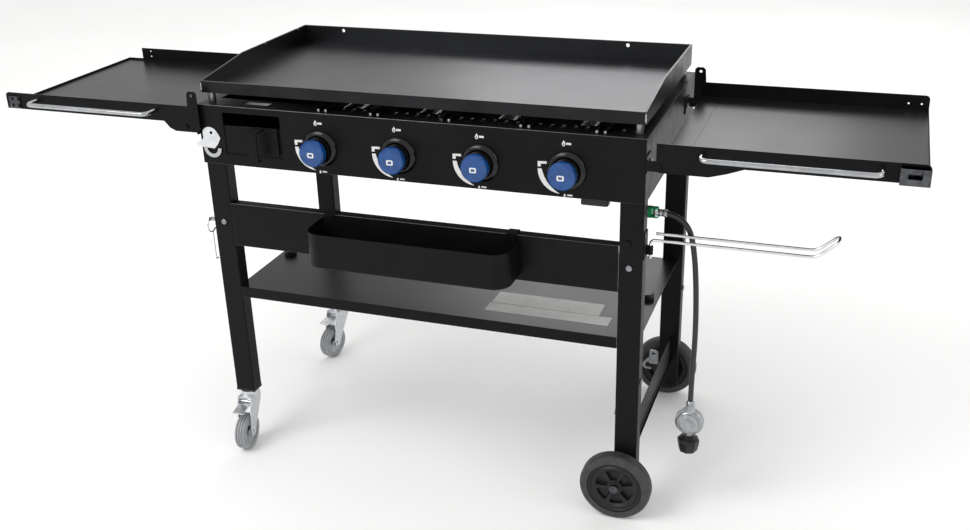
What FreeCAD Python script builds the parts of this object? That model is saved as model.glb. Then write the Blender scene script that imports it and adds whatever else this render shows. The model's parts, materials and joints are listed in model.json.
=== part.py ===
import FreeCAD
import Part
import math
import os

# Outdoor gas griddle station: a steel griddle plate over a four-burner firebox, on a wheeled leg frame
# with a folding tray shelf at each end. Millimetres, +X to the right as seen from the front, +Y to the back,
# +Z up, floor at Z = 0. The pieces are drawn from the griddle's front wall (Y = 0) and middle (X = 0).
# At the end all of them are moved together so that the middle of the footprint, on the floor, is the origin.

V = FreeCAD.Vector
X = V(1, 0, 0)
Y = V(0, 1, 0)
Z = V(0, 0, 1)

# Floor that the wheels stand on, in the drawing's own heights
floor_level = 7.0

# Griddle plate
plate_width = 940.0
plate_depth = 466.0
plate_floor = 5.0
plate_wall = 4.0
cooking_height = 859.0
front_wall_height = 19.0
back_wall_height = 40.0
side_slope_run = 170.0
notch_places = (270.0, 425.0)
notch_depth = 7.0
lid_hole_radius = 4.25
lid_hole_spacing = 694.0
lid_hole_offset = -18.0
lid_hole_drop = 9.0
drain_length = 50.0
drain_width = 12.0
drain_from_front = 22.0
foot_radius = 8.0
foot_height = 21.7
foot_inset = 15.0

# Sheet steel and clearances
sheet = 1.5
gap = 0.3
fit = 0.05

# Firebox
box_past_plate = 5.0
firebox_front = -14.0
panel_height = 128.0
panel_lip = 12.0
panel_return = 18.0
deck_flange = 24.0
vent_width = 8.5
vent_length = 18.0
vent_pitch = 23.15
vent_from_front = 39.0
vent_count = 27
vent_from_end = 30.1
vent_from_rib = 15.0
rail_depth = 44.0
rib_places = (-190.0, -75.0, 76.0, 238.0, 386.0)
rib_half_gap = 8.0
rib_width = 5.0
rib_height = 6.0
tray_drop = 96.0
tray_wall = 30.0
tray_from_pipe = 2.5

# Burners, manifold and valves
burner_count = 4
burner_from_drawer = 94.0
burner_from_end = 151.0
burner_radius = 19.0
burner_neck_radius = 11.0
burner_below_deck = 42.0
burner_start = 62.0
burner_end = 430.0
burner_port_radius = 1.5
burner_port_pitch = 23.0
control_below_deck = 74.0
manifold_y = 50.0
manifold_radius = 9.0
elbow_half = 10.0
manifold_past_burner = 32.0
manifold_from_end = 23.0
inlet_below_deck = 165.0
inlet_stub = 9.0
swivel_radius = 6.0
swivel_half = 7.5
swivel_pin = 2.0
valve_width = 26.0
valve_depth = 30.0
valve_height = 26.0
valve_boss = 3.0
stem_radius = 4.0
stem_bore_depth = 18.0
stem_collar_radius = 5.5
stem_hole_radius = 6.0
valve_neck_radius = 9.0
knob_push = 3.0

# Knobs and bezels
bezel_radius = 39.0
bezel_bore = 28.5
bezel_height = 9.0
knob_radius = 27.5
knob_depth = 37.0
knob_cap = 14.0
knob_cap_radius = 27.0
knob_cap_chamfer = 2.5
knob_facet = 21.5
knob_facet_depth = 8.0
knob_facet_angles = (60.0, 120.0)
knob_back_gap = 4.0

# Grease drawer
drawer_from_end = 64.0
drawer_width = 122.0
drawer_below_deck = 97.0
drawer_front_height = 57.0
drawer_front_sheet = 4.0
drawer_body_inset = 7.0
drawer_body_depth = 134.0
drawer_body_height = 48.0
recess_margin = 6.0
recess_below = 7.0
recess_below_deck = 14.0
pull_width = 20.0
pull_reach = 32.0
pull_from_left = 71.0
pull_below = 7.0
pull_sheet = 3.0
runner_width = 12.0
runner_height = 11.0
runner_foot = 10.0

# Legs
leg_width = 47.0
leg_depth = 34.0
leg_front_y = -9.0
leg_back_y = 456.0
leg_below_deck = 30.0
left_leg_bottom = 150.0
right_leg_bottom = 55.0

# Rails and lower shelf
front_rail_below_deck = 316.0
front_rail_height = 98.0
front_rail_flange = 22.0
lower_shelf_height = 393.0
lower_shelf_inset = 11.5
lower_shelf_lip = 25.0
lower_shelf_hem = 22.0
wheel_rail_bottom = 131.0
wheel_rail_from_leg = 18.5
wheel_rail_height = 62.0
wheel_rail_lip = 6.0

# Condiment bin
bin_middle = 10.0
bin_width = 438.0
bin_depth = 90.0
bin_above_rail_bottom = 13.0
bin_height = 75.0
bin_corner = 36.0
hook_width = 22.0
hook_inset = 8.0
hook_drop = 9.0

# Side shelves
shelf_depth = 447.0
shelf_front_y = -25.0
shelf_below_deck = 34.0
shelf_from_box = 28.0
shelf_length = 458.0
shelf_corner = 9.0
shelf_end_lip = 4.5
shelf_rim = 31.0
shelf_skirt = 5.0
ear_drop = 25.0
ear_top = 63.0
plain_end_from_box = 20.0
plain_run = 106.0
plain_run_slope = 52.0
ear_from_box_right = 11.0
ear_from_box_left = -8.0
ear_width = 25.0
ear_run = 70.0
ear_run_slope = 17.0
crease_from_inner = 42.0
left_flange_short = 42.0
pivot_from_box = 26.0
pivot_drop = 14.0
pivot_radius = 4.0
bracket_sheet = 3.0
bracket_end_radius = 10.0
bracket_foot = 42.0
rim_hole_radius = 2.0
bar_radius = 4.5
bar_from_inner = 76.0
bar_from_outer = 78.0
left_bar_shift = 11.0
bar_reach = 42.0
bar_bend = 14.0
bar_below_rim = 12.0
clip_width = 50.0
clip_height = 30.0
clip_reach = 16.0
clip_wall = 2.5
clip_slot_from_left = 13.0
clip_slot_width = 23.0
clip_plate_width = 28.0
clip_plate_from_outer = 9.0
clip_plate_height = 27.0
clip_stud = 6.0
bracket_half_height = 16.0
bracket_bolt_radius = 5.5
bracket_bolt_head = 3.5
bracket_bolt_length = 9.0
pin_head_radius = 5.5
pin_head = 1.5

# Towel holder
holder_wire = 3.0
holder_from_leg = 8.5
holder_pivot_y = 18.0
holder_below_panel = 82.0
holder_run = 306.0
holder_spread = 22.0
holder_rise = 5.0
holder_tip_run = 38.0
holder_tip_rise = 34.0
holder_pin = 38.0
holder_bend = 10.0
sleeve_wall = 2.5
sleeve_length = 18.0

# Wheels on the right legs
wheel_radius = 75.0
wheel_width = 32.0
wheel_from_leg_middle = 14.0
spoke_width = 18.0
tyre_depth = 17.0
rim_width = 15.0
web_thickness = 3.0
axle_radius = 5.0
wheel_spokes = 5
hub_radius = 17.0

# Casters on the left legs
caster_wheel_radius = 42.0
caster_wheel_width = 26.0
caster_trail = 36.0
caster_fork_sheet = 2.5
caster_fork_gap = 2.0
caster_front_turn = 4.0
caster_rear_turn = -12.0
caster_stem_radius = 5.5
caster_race_radius = 21.0
caster_race_height = 11.0
caster_plug = 5.0
caster_socket_height = 30.0
pedal_length = 46.0
pedal_width = 26.0
pedal_below_crown = 14.0

# Gas hose, regulator and tank nut
hose_radius = 5.5
hose_from_box = 15.0
swivel_from_box = 9.0
regulator_radius = 29.0
regulator_thickness = 30.0
regulator_neck = 20.0
regulator_spout = 5.0
nut_radius = 23.0
nut_height = 35.0
nut_shoulder = 4.0
nut_chamfer = 5.0
nut_neck_radius = 13.0
nut_bore_radius = 16.5
nut_bore_depth = 16.0

# Small metal parts
bolt_head_radius = 6.5
bolt_head_height = 4.0
bolt_shank_radius = 3.0
bolt_length = 16.0
rail_bolt_above_rail_bottom = 54.0
rail_bolt_from_inner = 21.0
side_bolt_height = 315.0
inner_bolt_height = 235.0
lower_bolt_step = 50.0
hand_screw_from_leg = 10.5
hand_screw_y = 234.0
hand_screw_radius = 15.0
hand_screw_height = 13.0
opener_from_end = 25.0
igniter_width = 54.0
igniter_depth = 23.0
igniter_height = 13.0
igniter_from_leg = 22.5
opener_below_deck = 60.0
match_wire = 1.6
match_ring = 16.0
match_tail = 66.0
match_peg_y = -4.0
match_peg_above_rail_bottom = 53.0
match_peg_radius = 2.5
match_peg_reach = 11.0
hook_above_leg_end = 41.0
hook_foot_height = 54.0
hook_reach = 38.0
hook_height = 48.0
hook_sheet = 2.0
hook_curl_height = 22.0
hook_hole_radius = 5.0

# Places that follow from the sizes above
half_plate = plate_width / 2
half_box = half_plate + box_past_plate
leg_outer = half_box - sheet
firebox_back = leg_back_y + leg_depth + sheet
plate_under = cooking_height - plate_floor
deck_height = plate_under - foot_height - gap
panel_bottom = deck_height - panel_height
burner_height = deck_height - burner_below_deck
control_height = deck_height - control_below_deck
inlet_height = deck_height - inlet_below_deck
drawer_bottom = deck_height - drawer_below_deck
recess_top = deck_height - recess_below_deck
leg_top = deck_height - leg_below_deck
shelf_height = deck_height - shelf_below_deck
opener_z = deck_height - opener_below_deck
front_rail_bottom = deck_height - front_rail_below_deck
bin_bottom = front_rail_bottom + bin_above_rail_bottom
rail_bolt_height = front_rail_bottom + rail_bolt_above_rail_bottom
match_peg_height = front_rail_bottom + match_peg_above_rail_bottom
hook_bottom = right_leg_bottom + hook_above_leg_end
leg_inner = leg_outer - leg_width
leg_mid = leg_outer - leg_width / 2
panel_face = firebox_front
panel_inside = firebox_front + sheet
shelf_back_y = shelf_front_y + shelf_depth
pivot_z = shelf_height - pivot_drop
axle_height = floor_level + wheel_radius
caster_axle_height = floor_level + caster_wheel_radius
drawer_left = drawer_from_end - half_box
drawer_right = drawer_left + drawer_width
pull_left = drawer_left + pull_from_left
first_burner = drawer_right + burner_from_drawer
last_burner = half_box - burner_from_end
burner_pitch = (last_burner - first_burner) / (burner_count - 1)
burner_places = [first_burner + i * burner_pitch for i in range(burner_count)]
first_vent = half_box - vent_from_end - (vent_count - 1) * vent_pitch
manifold_left = first_burner - manifold_past_burner
manifold_right = half_box - manifold_from_end
lower_shelf_half = leg_outer - lower_shelf_inset
bin_left = bin_middle - bin_width / 2
shelf_inner = half_box + shelf_from_box
shelf_outer = shelf_inner + shelf_length
plain_end = half_box + plain_end_from_box
left_flange_end = shelf_outer - left_flange_short
pivot_x = half_box + pivot_from_box
bar_start = shelf_inner + bar_from_inner
bar_end = shelf_outer - bar_from_outer
holder_pivot_x = leg_outer + holder_from_leg
holder_height = panel_bottom - holder_below_panel
wheel_x = leg_mid - wheel_from_leg_middle
hand_screw_x = leg_inner + hand_screw_from_leg
opener_x = opener_from_end - half_box
igniter_right = leg_inner - igniter_from_leg
hose_start = half_box + hose_from_box
hose_swivel = half_box + swivel_from_box
# Points of the hose, measured from where it leaves the inlet
hose_route = [(hose_start + dx, manifold_y + dy, inlet_height - drop) for dx, dy, drop in (
    (0.0, 0.0, 0.0), (20.0, 0.0, 0.0), (38.7, 0.0, 7.0), (53.9, 0.2, 20.0), (63.5, 0.5, 37.6), (71.5, 0.0,
                                                                                                75.0),
    (77.5, -2.0, 127.0), (82.0, -5.5, 197.0), (83.4, -8.5, 273.0), (81.3, -9.6, 339.0), (81.3, -9.6, 397.0))]


def block(x0, x1, y0, y1, z0, z1):
    return Part.makeBox(x1 - x0, y1 - y0, z1 - z0, V(x0, y0, z0))


def rod(start, direction, radius, length):
    return Part.makeCylinder(radius, length, V(*start), direction)


def tube(start, direction, outer, inner, length):
    return rod(start, direction, outer, length).cut(rod(start, direction, inner, length))


def join(first, *others):
    return first.fuse(list(others)).removeSplitter()


def slab(points, direction, thickness):
    wire = Part.makePolygon([V(*p) for p in points] + [V(*points[0])])
    return Part.Face(wire).extrude(direction * thickness)


def rounded_rectangle(x0, x1, y0, y1, z, radius, height):
    box = block(x0, x1, y0, y1, z, z + height)
    upright = [e for e in box.Edges if abs(e.Vertexes[0].Z - e.Vertexes[-1].Z) > height / 2]
    return box.makeFillet(radius, upright)


def mirrored(shape):
    return shape.mirror(V(0, 0, 0), X)


def route_path(points):
    """Straight runs joined by tangent arcs, each as large as its two runs allow."""
    pts = [V(*p) for p in points]
    cuts = []
    radii = []
    for a, b, c in zip(pts, pts[1:], pts[2:]):
        before = (a - b)
        after = (c - b)
        turn = math.pi - before.getAngle(after)
        short = min(before.Length, after.Length)
        reach = 0.45 * short
        radii.append(reach / math.tan(turn / 2))
        start = b + before.normalize() * reach
        end = b + after.normalize() * reach
        to_middle = (start + end) * 0.5 - b
        centre_distance = radii[-1] / math.cos(turn / 2)
        middle = b + to_middle.normalize() * (centre_distance - radii[-1])
        cuts.append((start, middle, end))
    edges = []
    here = pts[0]
    for start, middle, end in cuts:
        edges.append(Part.LineSegment(here, start).toShape())
        edges.append(Part.Arc(start, middle, end).toShape())
        here = end
    edges.append(Part.LineSegment(here, pts[-1]).toShape())
    return Part.Wire(edges), radii


def swept(points, radius):
    path, radii = route_path(points)
    first = V(*points[0])
    heading = V(*points[1]) - first
    ring = Part.Wire(Part.makeCircle(radius, first, heading))
    return path.makePipeShell([ring], True, False), path.Length, radii


def bent_rod(points, radius, bend):
    """A wire with one bend radius at every corner."""
    pts = [V(*p) for p in points]
    edges = []
    here = pts[0]
    for a, b, c in zip(pts, pts[1:], pts[2:]):
        before = (a - b)
        after = (c - b)
        turn = math.pi - before.getAngle(after)
        reach = bend * math.tan(turn / 2)
        start = b + before.normalize() * reach
        end = b + after.normalize() * reach
        to_middle = ((start + end) * 0.5 - b).normalize()
        middle = b + to_middle * (bend / math.cos(turn / 2) - bend)
        edges.append(Part.LineSegment(here, start).toShape())
        edges.append(Part.Arc(start, middle, end).toShape())
        here = end
    edges.append(Part.LineSegment(here, pts[-1]).toShape())
    path = Part.Wire(edges)
    ring = Part.Wire(Part.makeCircle(radius, pts[0], pts[1] - pts[0]))
    return path.makePipeShell([ring], True, False)


def bolt(place, direction, head_radius=bolt_head_radius, head_height=bolt_head_height, length=bolt_length):
    """Head stands out of the face at place; the shank runs the other way."""
    place = V(*place)
    head = Part.makeCylinder(head_radius, head_height, place, direction)
    rim = [e for e in head.Edges if abs(e.CenterOfMass.dot(direction)
                                        - (place + direction * head_height).dot(direction)) < 0.01]
    head = head.makeFillet(head_height * 0.45, rim)
    shank = Part.makeCylinder(bolt_shank_radius, length, place, direction * -1)
    return head.fuse(shank).removeSplitter()


def bolt_hole(place, direction, depth):
    start = V(*place) + direction * bolt_head_height
    return Part.makeCylinder(bolt_shank_radius + fit, depth + bolt_head_height, start, direction * -1)


pieces = {}


def griddle():
    x = half_plate
    y = plate_depth
    low = plate_under
    front_top = cooking_height + front_wall_height
    back_top = cooking_height + back_wall_height
    pan = block(-x, x, 0, y, low, cooking_height)
    front = block(-x, x, 0, plate_wall, low, front_top)
    back = block(-x, x, y - plate_wall, y, low, back_top)
    outline = [(x, 0, low), (x, y, low), (x, y, back_top), (x, side_slope_run, back_top), (x, 0, front_top)]
    right = slab(outline, X, -plate_wall)
    left = mirrored(right)
    for place in notch_places:
        notch = [(-x - 1, place - notch_depth / 2, back_top + 1),
                 (-x - 1, place + notch_depth / 2, back_top + 1),
                 (-x - 1, place, back_top - notch_depth)]
        left = left.cut(slab(notch, X, plate_wall + 2))
    plate = join(pan, front, back, left, right)
    for side in (-1, 1):
        hole_x = lid_hole_offset + side * lid_hole_spacing / 2
        plate = plate.cut(rod((hole_x, y - plate_wall - 1, back_top - lid_hole_drop), Y, lid_hole_radius,
                              plate_wall + 2))
    drain_mid = (drawer_left + drawer_right) / 2
    slot = block(drain_mid - drain_length / 2, drain_mid + drain_length / 2,
                 drain_from_front - drain_width / 2,
                 drain_from_front + drain_width / 2, low - 1, cooking_height + 1)
    pieces["griddle_plate"] = plate.cut(slot)
    feet = []
    for foot_x in (-x + foot_inset, x - foot_inset):
        for foot_y in (foot_inset, y - foot_inset):
            feet.append(rod((foot_x, foot_y, low - foot_height), Z, foot_radius, foot_height))
    pieces["griddle_feet"] = Part.makeCompound(feet)


def recess_cutter():
    return block(drawer_left - recess_margin, drawer_right + recess_margin, panel_face - 1, panel_inside + 1,
                 drawer_bottom - recess_below, recess_top)


def control_panel():
    face = block(-half_box, half_box, panel_face, panel_inside, panel_bottom, deck_height)
    lip_half = half_box - sheet
    lip = block(-lip_half, lip_half, panel_face, panel_face + panel_lip, deck_height - sheet, deck_height)
    foot = block(-leg_inner + gap, leg_inner - gap, panel_face, panel_face + panel_return, panel_bottom,
                 panel_bottom + sheet)
    panel = join(face, lip, foot).cut(recess_cutter())
    for x in burner_places:
        panel = panel.cut(rod((x, panel_face - 1, control_height), Y, stem_hole_radius, sheet + 2))
    pieces["control_panel"] = panel
    bezels = []
    for x in burner_places:
        ring = tube((x, panel_face - bezel_height, control_height), Y, bezel_radius, bezel_bore,
                    bezel_height)
        outer = [e for e in ring.Edges
                 if abs(e.CenterOfMass.y
                        - (panel_face - bezel_height)) < 0.01 and e.Length > 6.3 * bezel_bore]
        bezels.append(ring.makeChamfer(bezel_height * 0.6, outer))
    pieces["knob_bezels"] = Part.makeCompound(bezels)


def firebox():
    def side():
        wall = block(half_box - sheet, half_box, panel_inside, firebox_back, panel_bottom, deck_height)
        top = block(half_box - deck_flange, half_box, panel_face + panel_lip, firebox_back,
                    deck_height - sheet,
                    deck_height)
        return join(wall, top)

    right = side()
    left = mirrored(side())
    bracket_hole_z = pivot_z
    for place in bracket_bolt_places():
        right = right.cut(bolt_hole((half_box + bracket_sheet, place, bracket_hole_z), X,
                                    bracket_sheet + sheet + 1))
        left = left.cut(bolt_hole((-half_box - bracket_sheet, place, bracket_hole_z), X * -1,
                                  bracket_sheet + sheet + 1))
    pieces["firebox_side_right"] = right
    pieces["firebox_side_left"] = left
    back = block(-half_box + sheet, half_box - sheet, firebox_back - sheet, firebox_back, panel_bottom,
                 deck_height - sheet)
    back_flange = block(-half_box + deck_flange, half_box - deck_flange, firebox_back - deck_flange,
                        firebox_back, deck_height - sheet, deck_height)
    pieces["firebox_rear_panel"] = join(back, back_flange)
    tray_low = deck_height - tray_drop
    tray_x = half_box - sheet
    tray_front = manifold_y + manifold_radius + tray_from_pipe
    tray_back = leg_back_y - gap
    outer = block(-tray_x, tray_x, tray_front, tray_back, tray_low, tray_low + tray_wall)
    inner = block(-tray_x + sheet, tray_x - sheet, tray_front + sheet, tray_back - sheet, tray_low + sheet,
                  tray_low + tray_wall)
    chute = block(drawer_left - recess_margin, drawer_right + recess_margin, tray_front - 1,
                  panel_face + drawer_body_depth + recess_margin, tray_low - 1, tray_low + tray_wall + 1)
    pieces["burner_tray"] = outer.cut(inner).cut(chute)


def vent_rail():
    front = panel_face + panel_lip
    low = deck_height - sheet
    x = half_box - deck_flange
    top = block(-x, x, front, front + rail_depth, low, deck_height)
    web = block(-x, x, front + rail_depth - sheet, front + rail_depth, low - 14, low)
    rail = join(top, web)
    drain_mid = (drawer_left + drawer_right) / 2
    rail = rail.cut(block(drain_mid - drain_length / 2 - 4, drain_mid + drain_length / 2 + 4,
                          drain_from_front - drain_width, drain_from_front + drain_width * 0.8,
                          low - 1, deck_height + 1))
    vent_y = panel_face + vent_from_front
    straight = (vent_length - vent_width) / 2
    for i in range(vent_count):
        vent_x = first_vent + i * vent_pitch
        if min(abs(vent_x - place) for place in rib_places) < vent_from_rib:
            continue
        vent = block(vent_x - vent_width / 2, vent_x + vent_width / 2, vent_y - straight, vent_y + straight,
                     low - 1, deck_height + 1)
        for end_y in (vent_y - straight, vent_y + straight):
            vent = vent.fuse(rod((vent_x, end_y, low - 1), Z, vent_width / 2, sheet + 2))
        rail = rail.cut(vent)
    ribs = []
    for place in rib_places:
        for side in (-1, 1):
            x0 = place + side * rib_half_gap - rib_width / 2
            ribs.append(block(x0, x0 + rib_width, front, firebox_back, deck_height,
                              deck_height + rib_height))
    pieces["vent_rail"] = Part.makeCompound([rail] + ribs)


def burners():
    tubes = []
    for x in burner_places:
        neck = tube((x, manifold_y - 4, burner_height), Y, burner_neck_radius, 6.2,
                    burner_start - manifold_y + 6)
        body = rod((x, burner_start, burner_height), Y, burner_radius, burner_end - burner_start)
        peg = rod((x, burner_end - 2, burner_height), Y, 6, firebox_back - sheet - burner_end + 2)
        shape = join(neck, body, peg)
        count = int((burner_end - burner_start - 30) / burner_port_pitch)
        for i in range(count):
            port_y = burner_start + 24 + i * burner_port_pitch
            shape = shape.cut(rod((x, port_y, burner_height + burner_radius - 4), Z, burner_port_radius, 6))
        tubes.append(shape)
    pieces["burners"] = Part.makeCompound(tubes)


def elbow_fitting(z):
    """Square fitting at a corner of the manifold pipe."""
    return block(manifold_right - elbow_half, manifold_right + inlet_stub, manifold_y - elbow_half,
                 manifold_y + elbow_half, z - elbow_half, z + elbow_half)


def gas_train():
    run = rod((manifold_left, manifold_y, control_height), X, manifold_radius,
              manifold_right - manifold_left)
    corner = elbow_fitting(control_height)
    drop = rod((manifold_right, manifold_y, inlet_height), Z, manifold_radius, control_height - inlet_height)
    low_corner = elbow_fitting(inlet_height)
    stub = rod((manifold_right, manifold_y, inlet_height), X, manifold_radius, inlet_stub)
    pipe = join(run, corner, drop, low_corner, stub)
    solids = []
    valve_back = manifold_y - manifold_radius - valve_boss
    for x in burner_places:
        boss = rod((x, valve_back, control_height), Y, 7, manifold_y - valve_back + 2)
        pipe = join(pipe, boss)
        body = block(x - valve_width / 2, x + valve_width / 2, valve_back - valve_depth, valve_back,
                     control_height - valve_height / 2, control_height + valve_height / 2)
        elbow = rod((x, valve_back - 10, control_height), Z, 7, burner_height - control_height + 6)
        nozzle = rod((x, valve_back - 10, burner_height), Y, 6, 14 + manifold_radius + valve_boss)
        valve_front = valve_back - valve_depth
        bore = rod((x, valve_front - 1, control_height), Y, stem_radius + fit, stem_bore_depth + 1)
        neck = tube((x, panel_inside, control_height), Y, valve_neck_radius, stem_hole_radius,
                    valve_front - panel_inside + 1)
        solids.append(join(join(body, elbow, nozzle).cut(bore), neck))
    pieces["gas_manifold"] = Part.makeCompound([pipe] + solids)
    start = manifold_right + inlet_stub
    length = hose_swivel - start
    brass = rod((start, manifold_y, inlet_height), X, 9, length * 0.4)
    lug_top = rod((hose_swivel, manifold_y, inlet_height + swivel_half), Z, swivel_radius, 3)
    lug_low = rod((hose_swivel, manifold_y, inlet_height - swivel_half - 3), Z, swivel_radius, 3)
    cheek = block(start, hose_swivel - swivel_radius - gap, manifold_y - swivel_radius,
                  manifold_y + swivel_radius,
                  inlet_height - swivel_half - 3, inlet_height + swivel_half + 3)
    arms = block(start, hose_swivel, manifold_y - swivel_radius + 1, manifold_y + swivel_radius - 1,
                 inlet_height - swivel_half - 3, inlet_height + swivel_half + 3)
    sweep = math.hypot(hose_start - hose_swivel, hose_radius + 1.5) + gap
    slot = rod((hose_swivel, manifold_y, inlet_height - swivel_half), Z, sweep, 2 * swivel_half)
    pin = rod((hose_swivel, manifold_y, inlet_height - swivel_half - 3), Z, swivel_pin, 2 * swivel_half + 6)
    pieces["gas_inlet"] = join(join(brass, cheek, arms, lug_top, lug_low).cut(slot), pin)
    eye = rod((hose_swivel, manifold_y, inlet_height - swivel_half + gap), Z, swivel_radius,
              2 * (swivel_half - gap))
    ferrule = rod((hose_swivel, manifold_y, inlet_height), X, hose_radius + 1.5, hose_start - hose_swivel)
    bore = rod((hose_swivel, manifold_y, inlet_height - swivel_half - 1), Z, swivel_pin + fit,
               2 * swivel_half + 2)
    ferrule = ferrule.common(block(hose_swivel, hose_start, manifold_y - 20, manifold_y + 20,
                                   inlet_height - swivel_half + gap, inlet_height + swivel_half - gap))
    pieces["hose_swivel"] = join(eye, ferrule).cut(bore)


def controls():
    stem_start = manifold_y - manifold_radius - valve_boss - valve_depth + stem_bore_depth - knob_push - 1
    knob_back = panel_face - knob_back_gap
    knob_front = knob_back - knob_depth
    for number, x in enumerate(burner_places, 1):
        stem_end = knob_front + knob_cap - 4
        stem = rod((x, stem_end, control_height), Y, stem_radius, stem_start - stem_end)
        collar = rod((x, knob_back + gap, control_height), Y, stem_collar_radius, 2)
        pieces["valve_stem_%d" % number] = join(stem, collar)
        barrel = rod((x, knob_front + knob_cap, control_height), Y, knob_radius, knob_depth - knob_cap)
        cap = rod((x, knob_front, control_height), Y, knob_cap_radius, knob_cap)
        cap = cap.makeChamfer(knob_cap_chamfer, [e for e in cap.Edges if e.BoundBox.YMax < knob_front + 0.1])
        reach = knob_cap_radius + 4
        for angle in knob_facet_angles:
            facet = slab([(x + knob_facet, knob_front, control_height - reach),
                          (x + knob_facet, knob_front - 1, control_height - reach),
                          (x + reach, knob_front - 1, control_height - reach),
                          (x + reach, knob_front + knob_facet_depth, control_height - reach),
                          (x + knob_cap_radius, knob_front + knob_facet_depth, control_height - reach)],
                         Z, 2 * reach)
            facet.rotate(V(x, 0, control_height), Y, -angle)
            cap = cap.cut(facet)
        bore = rod((x, stem_end, control_height), Y, stem_radius + fit, knob_back - stem_end + 1)
        pieces["knob_%d" % number] = join(barrel, cap).cut(bore)


def grease_drawer():
    front_y = panel_face - gap
    front = block(drawer_left, drawer_right, front_y - drawer_front_sheet, front_y, drawer_bottom,
                  drawer_bottom + drawer_front_height)
    x0 = drawer_left + drawer_body_inset
    x1 = drawer_right - drawer_body_inset
    z0 = drawer_bottom + 4
    z1 = z0 + drawer_body_height
    outer = block(x0, x1, front_y - 1, front_y + drawer_body_depth, z0, z1)
    inner = block(x0 + sheet, x1 - sheet, front_y, front_y + drawer_body_depth - sheet, z0 + sheet, z1 + 1)
    arm_y = front_y - drawer_front_sheet - pull_reach
    pull_low = drawer_bottom - pull_below
    loop = block(pull_left, pull_left + pull_width, arm_y, front_y - drawer_front_sheet, pull_low,
                 drawer_bottom + drawer_front_height - 1)
    hollow = block(pull_left - 1, pull_left + pull_width + 1, arm_y + pull_sheet,
                   front_y - drawer_front_sheet + 1,
                   pull_low - 1, drawer_bottom + drawer_front_height - 1 - pull_sheet)
    tail = block(pull_left, pull_left + pull_width, arm_y, arm_y + 12, pull_low, pull_low + pull_sheet)
    loop = loop.cut(hollow).fuse(tail)
    pieces["grease_drawer"] = join(front, outer.cut(inner), loop)
    runners = []
    for x in (x0 - 4, x1 + 4 - runner_width):
        low = z0 - gap - sheet
        shelf = block(x, x + runner_width, panel_inside, front_y + drawer_body_depth, low, low + sheet)
        wall_x = x if x < (drawer_left + drawer_right) / 2 else x + runner_width - sheet
        wall = block(wall_x, wall_x + sheet, panel_inside, front_y + drawer_body_depth, low,
                     low + runner_height)
        foot_z = drawer_bottom - recess_below - runner_foot
        foot = block(x, x + runner_width, panel_inside, panel_inside + sheet, foot_z, low + sheet)
        runners.append(join(shelf, wall, foot))
    pieces["drawer_runners"] = Part.makeCompound(runners)


def leg(x0, y0, bottom):
    outer = block(x0, x0 + leg_width, y0, y0 + leg_depth, bottom, leg_top)
    upright = [e for e in outer.Edges if abs(e.Vertexes[0].Z - e.Vertexes[-1].Z) > 50]
    outer = outer.makeFillet(3, upright)
    inner = block(x0 + sheet, x0 + leg_width - sheet, y0 + sheet, y0 + leg_depth - sheet, bottom - 1,
                  leg_top + 1)
    return outer.cut(inner)


def legs():
    front_bolts = fastener_places()
    for name, x0, y0, bottom in (("leg_front_left", -leg_outer, leg_front_y, left_leg_bottom),
                                 ("leg_front_right", leg_inner, leg_front_y, right_leg_bottom),
                                 ("leg_rear_left", -leg_outer, leg_back_y, left_leg_bottom),
                                 ("leg_rear_right", leg_inner, leg_back_y, right_leg_bottom)):
        shape = leg(x0, y0, bottom)
        for place, direction in front_bolts:
            hole = bolt_hole(place, direction, bolt_length)
            if hole.BoundBox.intersect(shape.BoundBox):
                shape = shape.cut(hole)
        for side in (-1, 1):
            hole = bolt_hole((side * (half_box + bracket_sheet), bracket_bolt_places()[0], pivot_z),
                             X * side, bolt_length)
            if hole.BoundBox.intersect(shape.BoundBox):
                shape = shape.cut(hole)
        if bottom == right_leg_bottom:
            shape = shape.cut(rod((wheel_x, y0 - 1, axle_height), Y, axle_radius + fit, leg_depth + 2))
        pieces[name] = shape


def fastener_places():
    near = leg_inner + rail_bolt_from_inner
    places = [((near, leg_front_y, rail_bolt_height), Y * -1),
              ((-near, leg_front_y, rail_bolt_height), Y * -1),
              ((near - 4, leg_front_y, rail_bolt_height + lower_bolt_step), Y * -1),
              ((leg_outer, leg_front_y + leg_depth / 2, side_bolt_height), X),
              ((leg_outer, leg_back_y + leg_depth / 2, side_bolt_height), X),
              ((leg_inner, leg_front_y + leg_depth / 2, inner_bolt_height), X * -1),
              ((near, leg_back_y + leg_depth, rail_bolt_height), Y),
              ((-near, leg_back_y + leg_depth, rail_bolt_height), Y)]
    return places


def bracket_bolt_places():
    foot_mid = shelf_front_y + sheet + gap + bracket_sheet + bracket_foot - 14
    back_mid = shelf_back_y - sheet - gap - bracket_sheet - bracket_foot + 14
    return (foot_mid, back_mid)


def fasteners():
    solids = [bolt(place, direction) for place, direction in fastener_places()]
    for place in bracket_bolt_places():
        for side in (-1, 1):
            solids.append(bolt((side * (half_box + bracket_sheet), place, pivot_z), X * side,
                               bracket_bolt_radius, bracket_bolt_head, bracket_bolt_length))
    for side in (-1, 1):
        head = rod((side * hand_screw_x, hand_screw_y, lower_shelf_height), Z, hand_screw_radius,
                   hand_screw_height)
        head = head.makeFillet(3, [e for e in head.Edges if e.CenterOfMass.z > lower_shelf_height
                                   + hand_screw_height - 0.1])
        shank = rod((side * hand_screw_x, hand_screw_y, lower_shelf_height - 12), Z, bolt_shank_radius, 13)
        solids.append(join(head, shank))
    peg_start = -leg_outer - match_peg_reach - match_wire - 1
    peg = rod((peg_start, match_peg_y, match_peg_height), X, match_peg_radius, -leg_outer - peg_start)
    cap = rod((peg_start - 1.5, match_peg_y, match_peg_height), X, match_peg_radius + 2, 1.5)
    solids.append(join(peg, cap))
    pieces["frame_fasteners"] = Part.makeCompound(solids)


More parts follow.
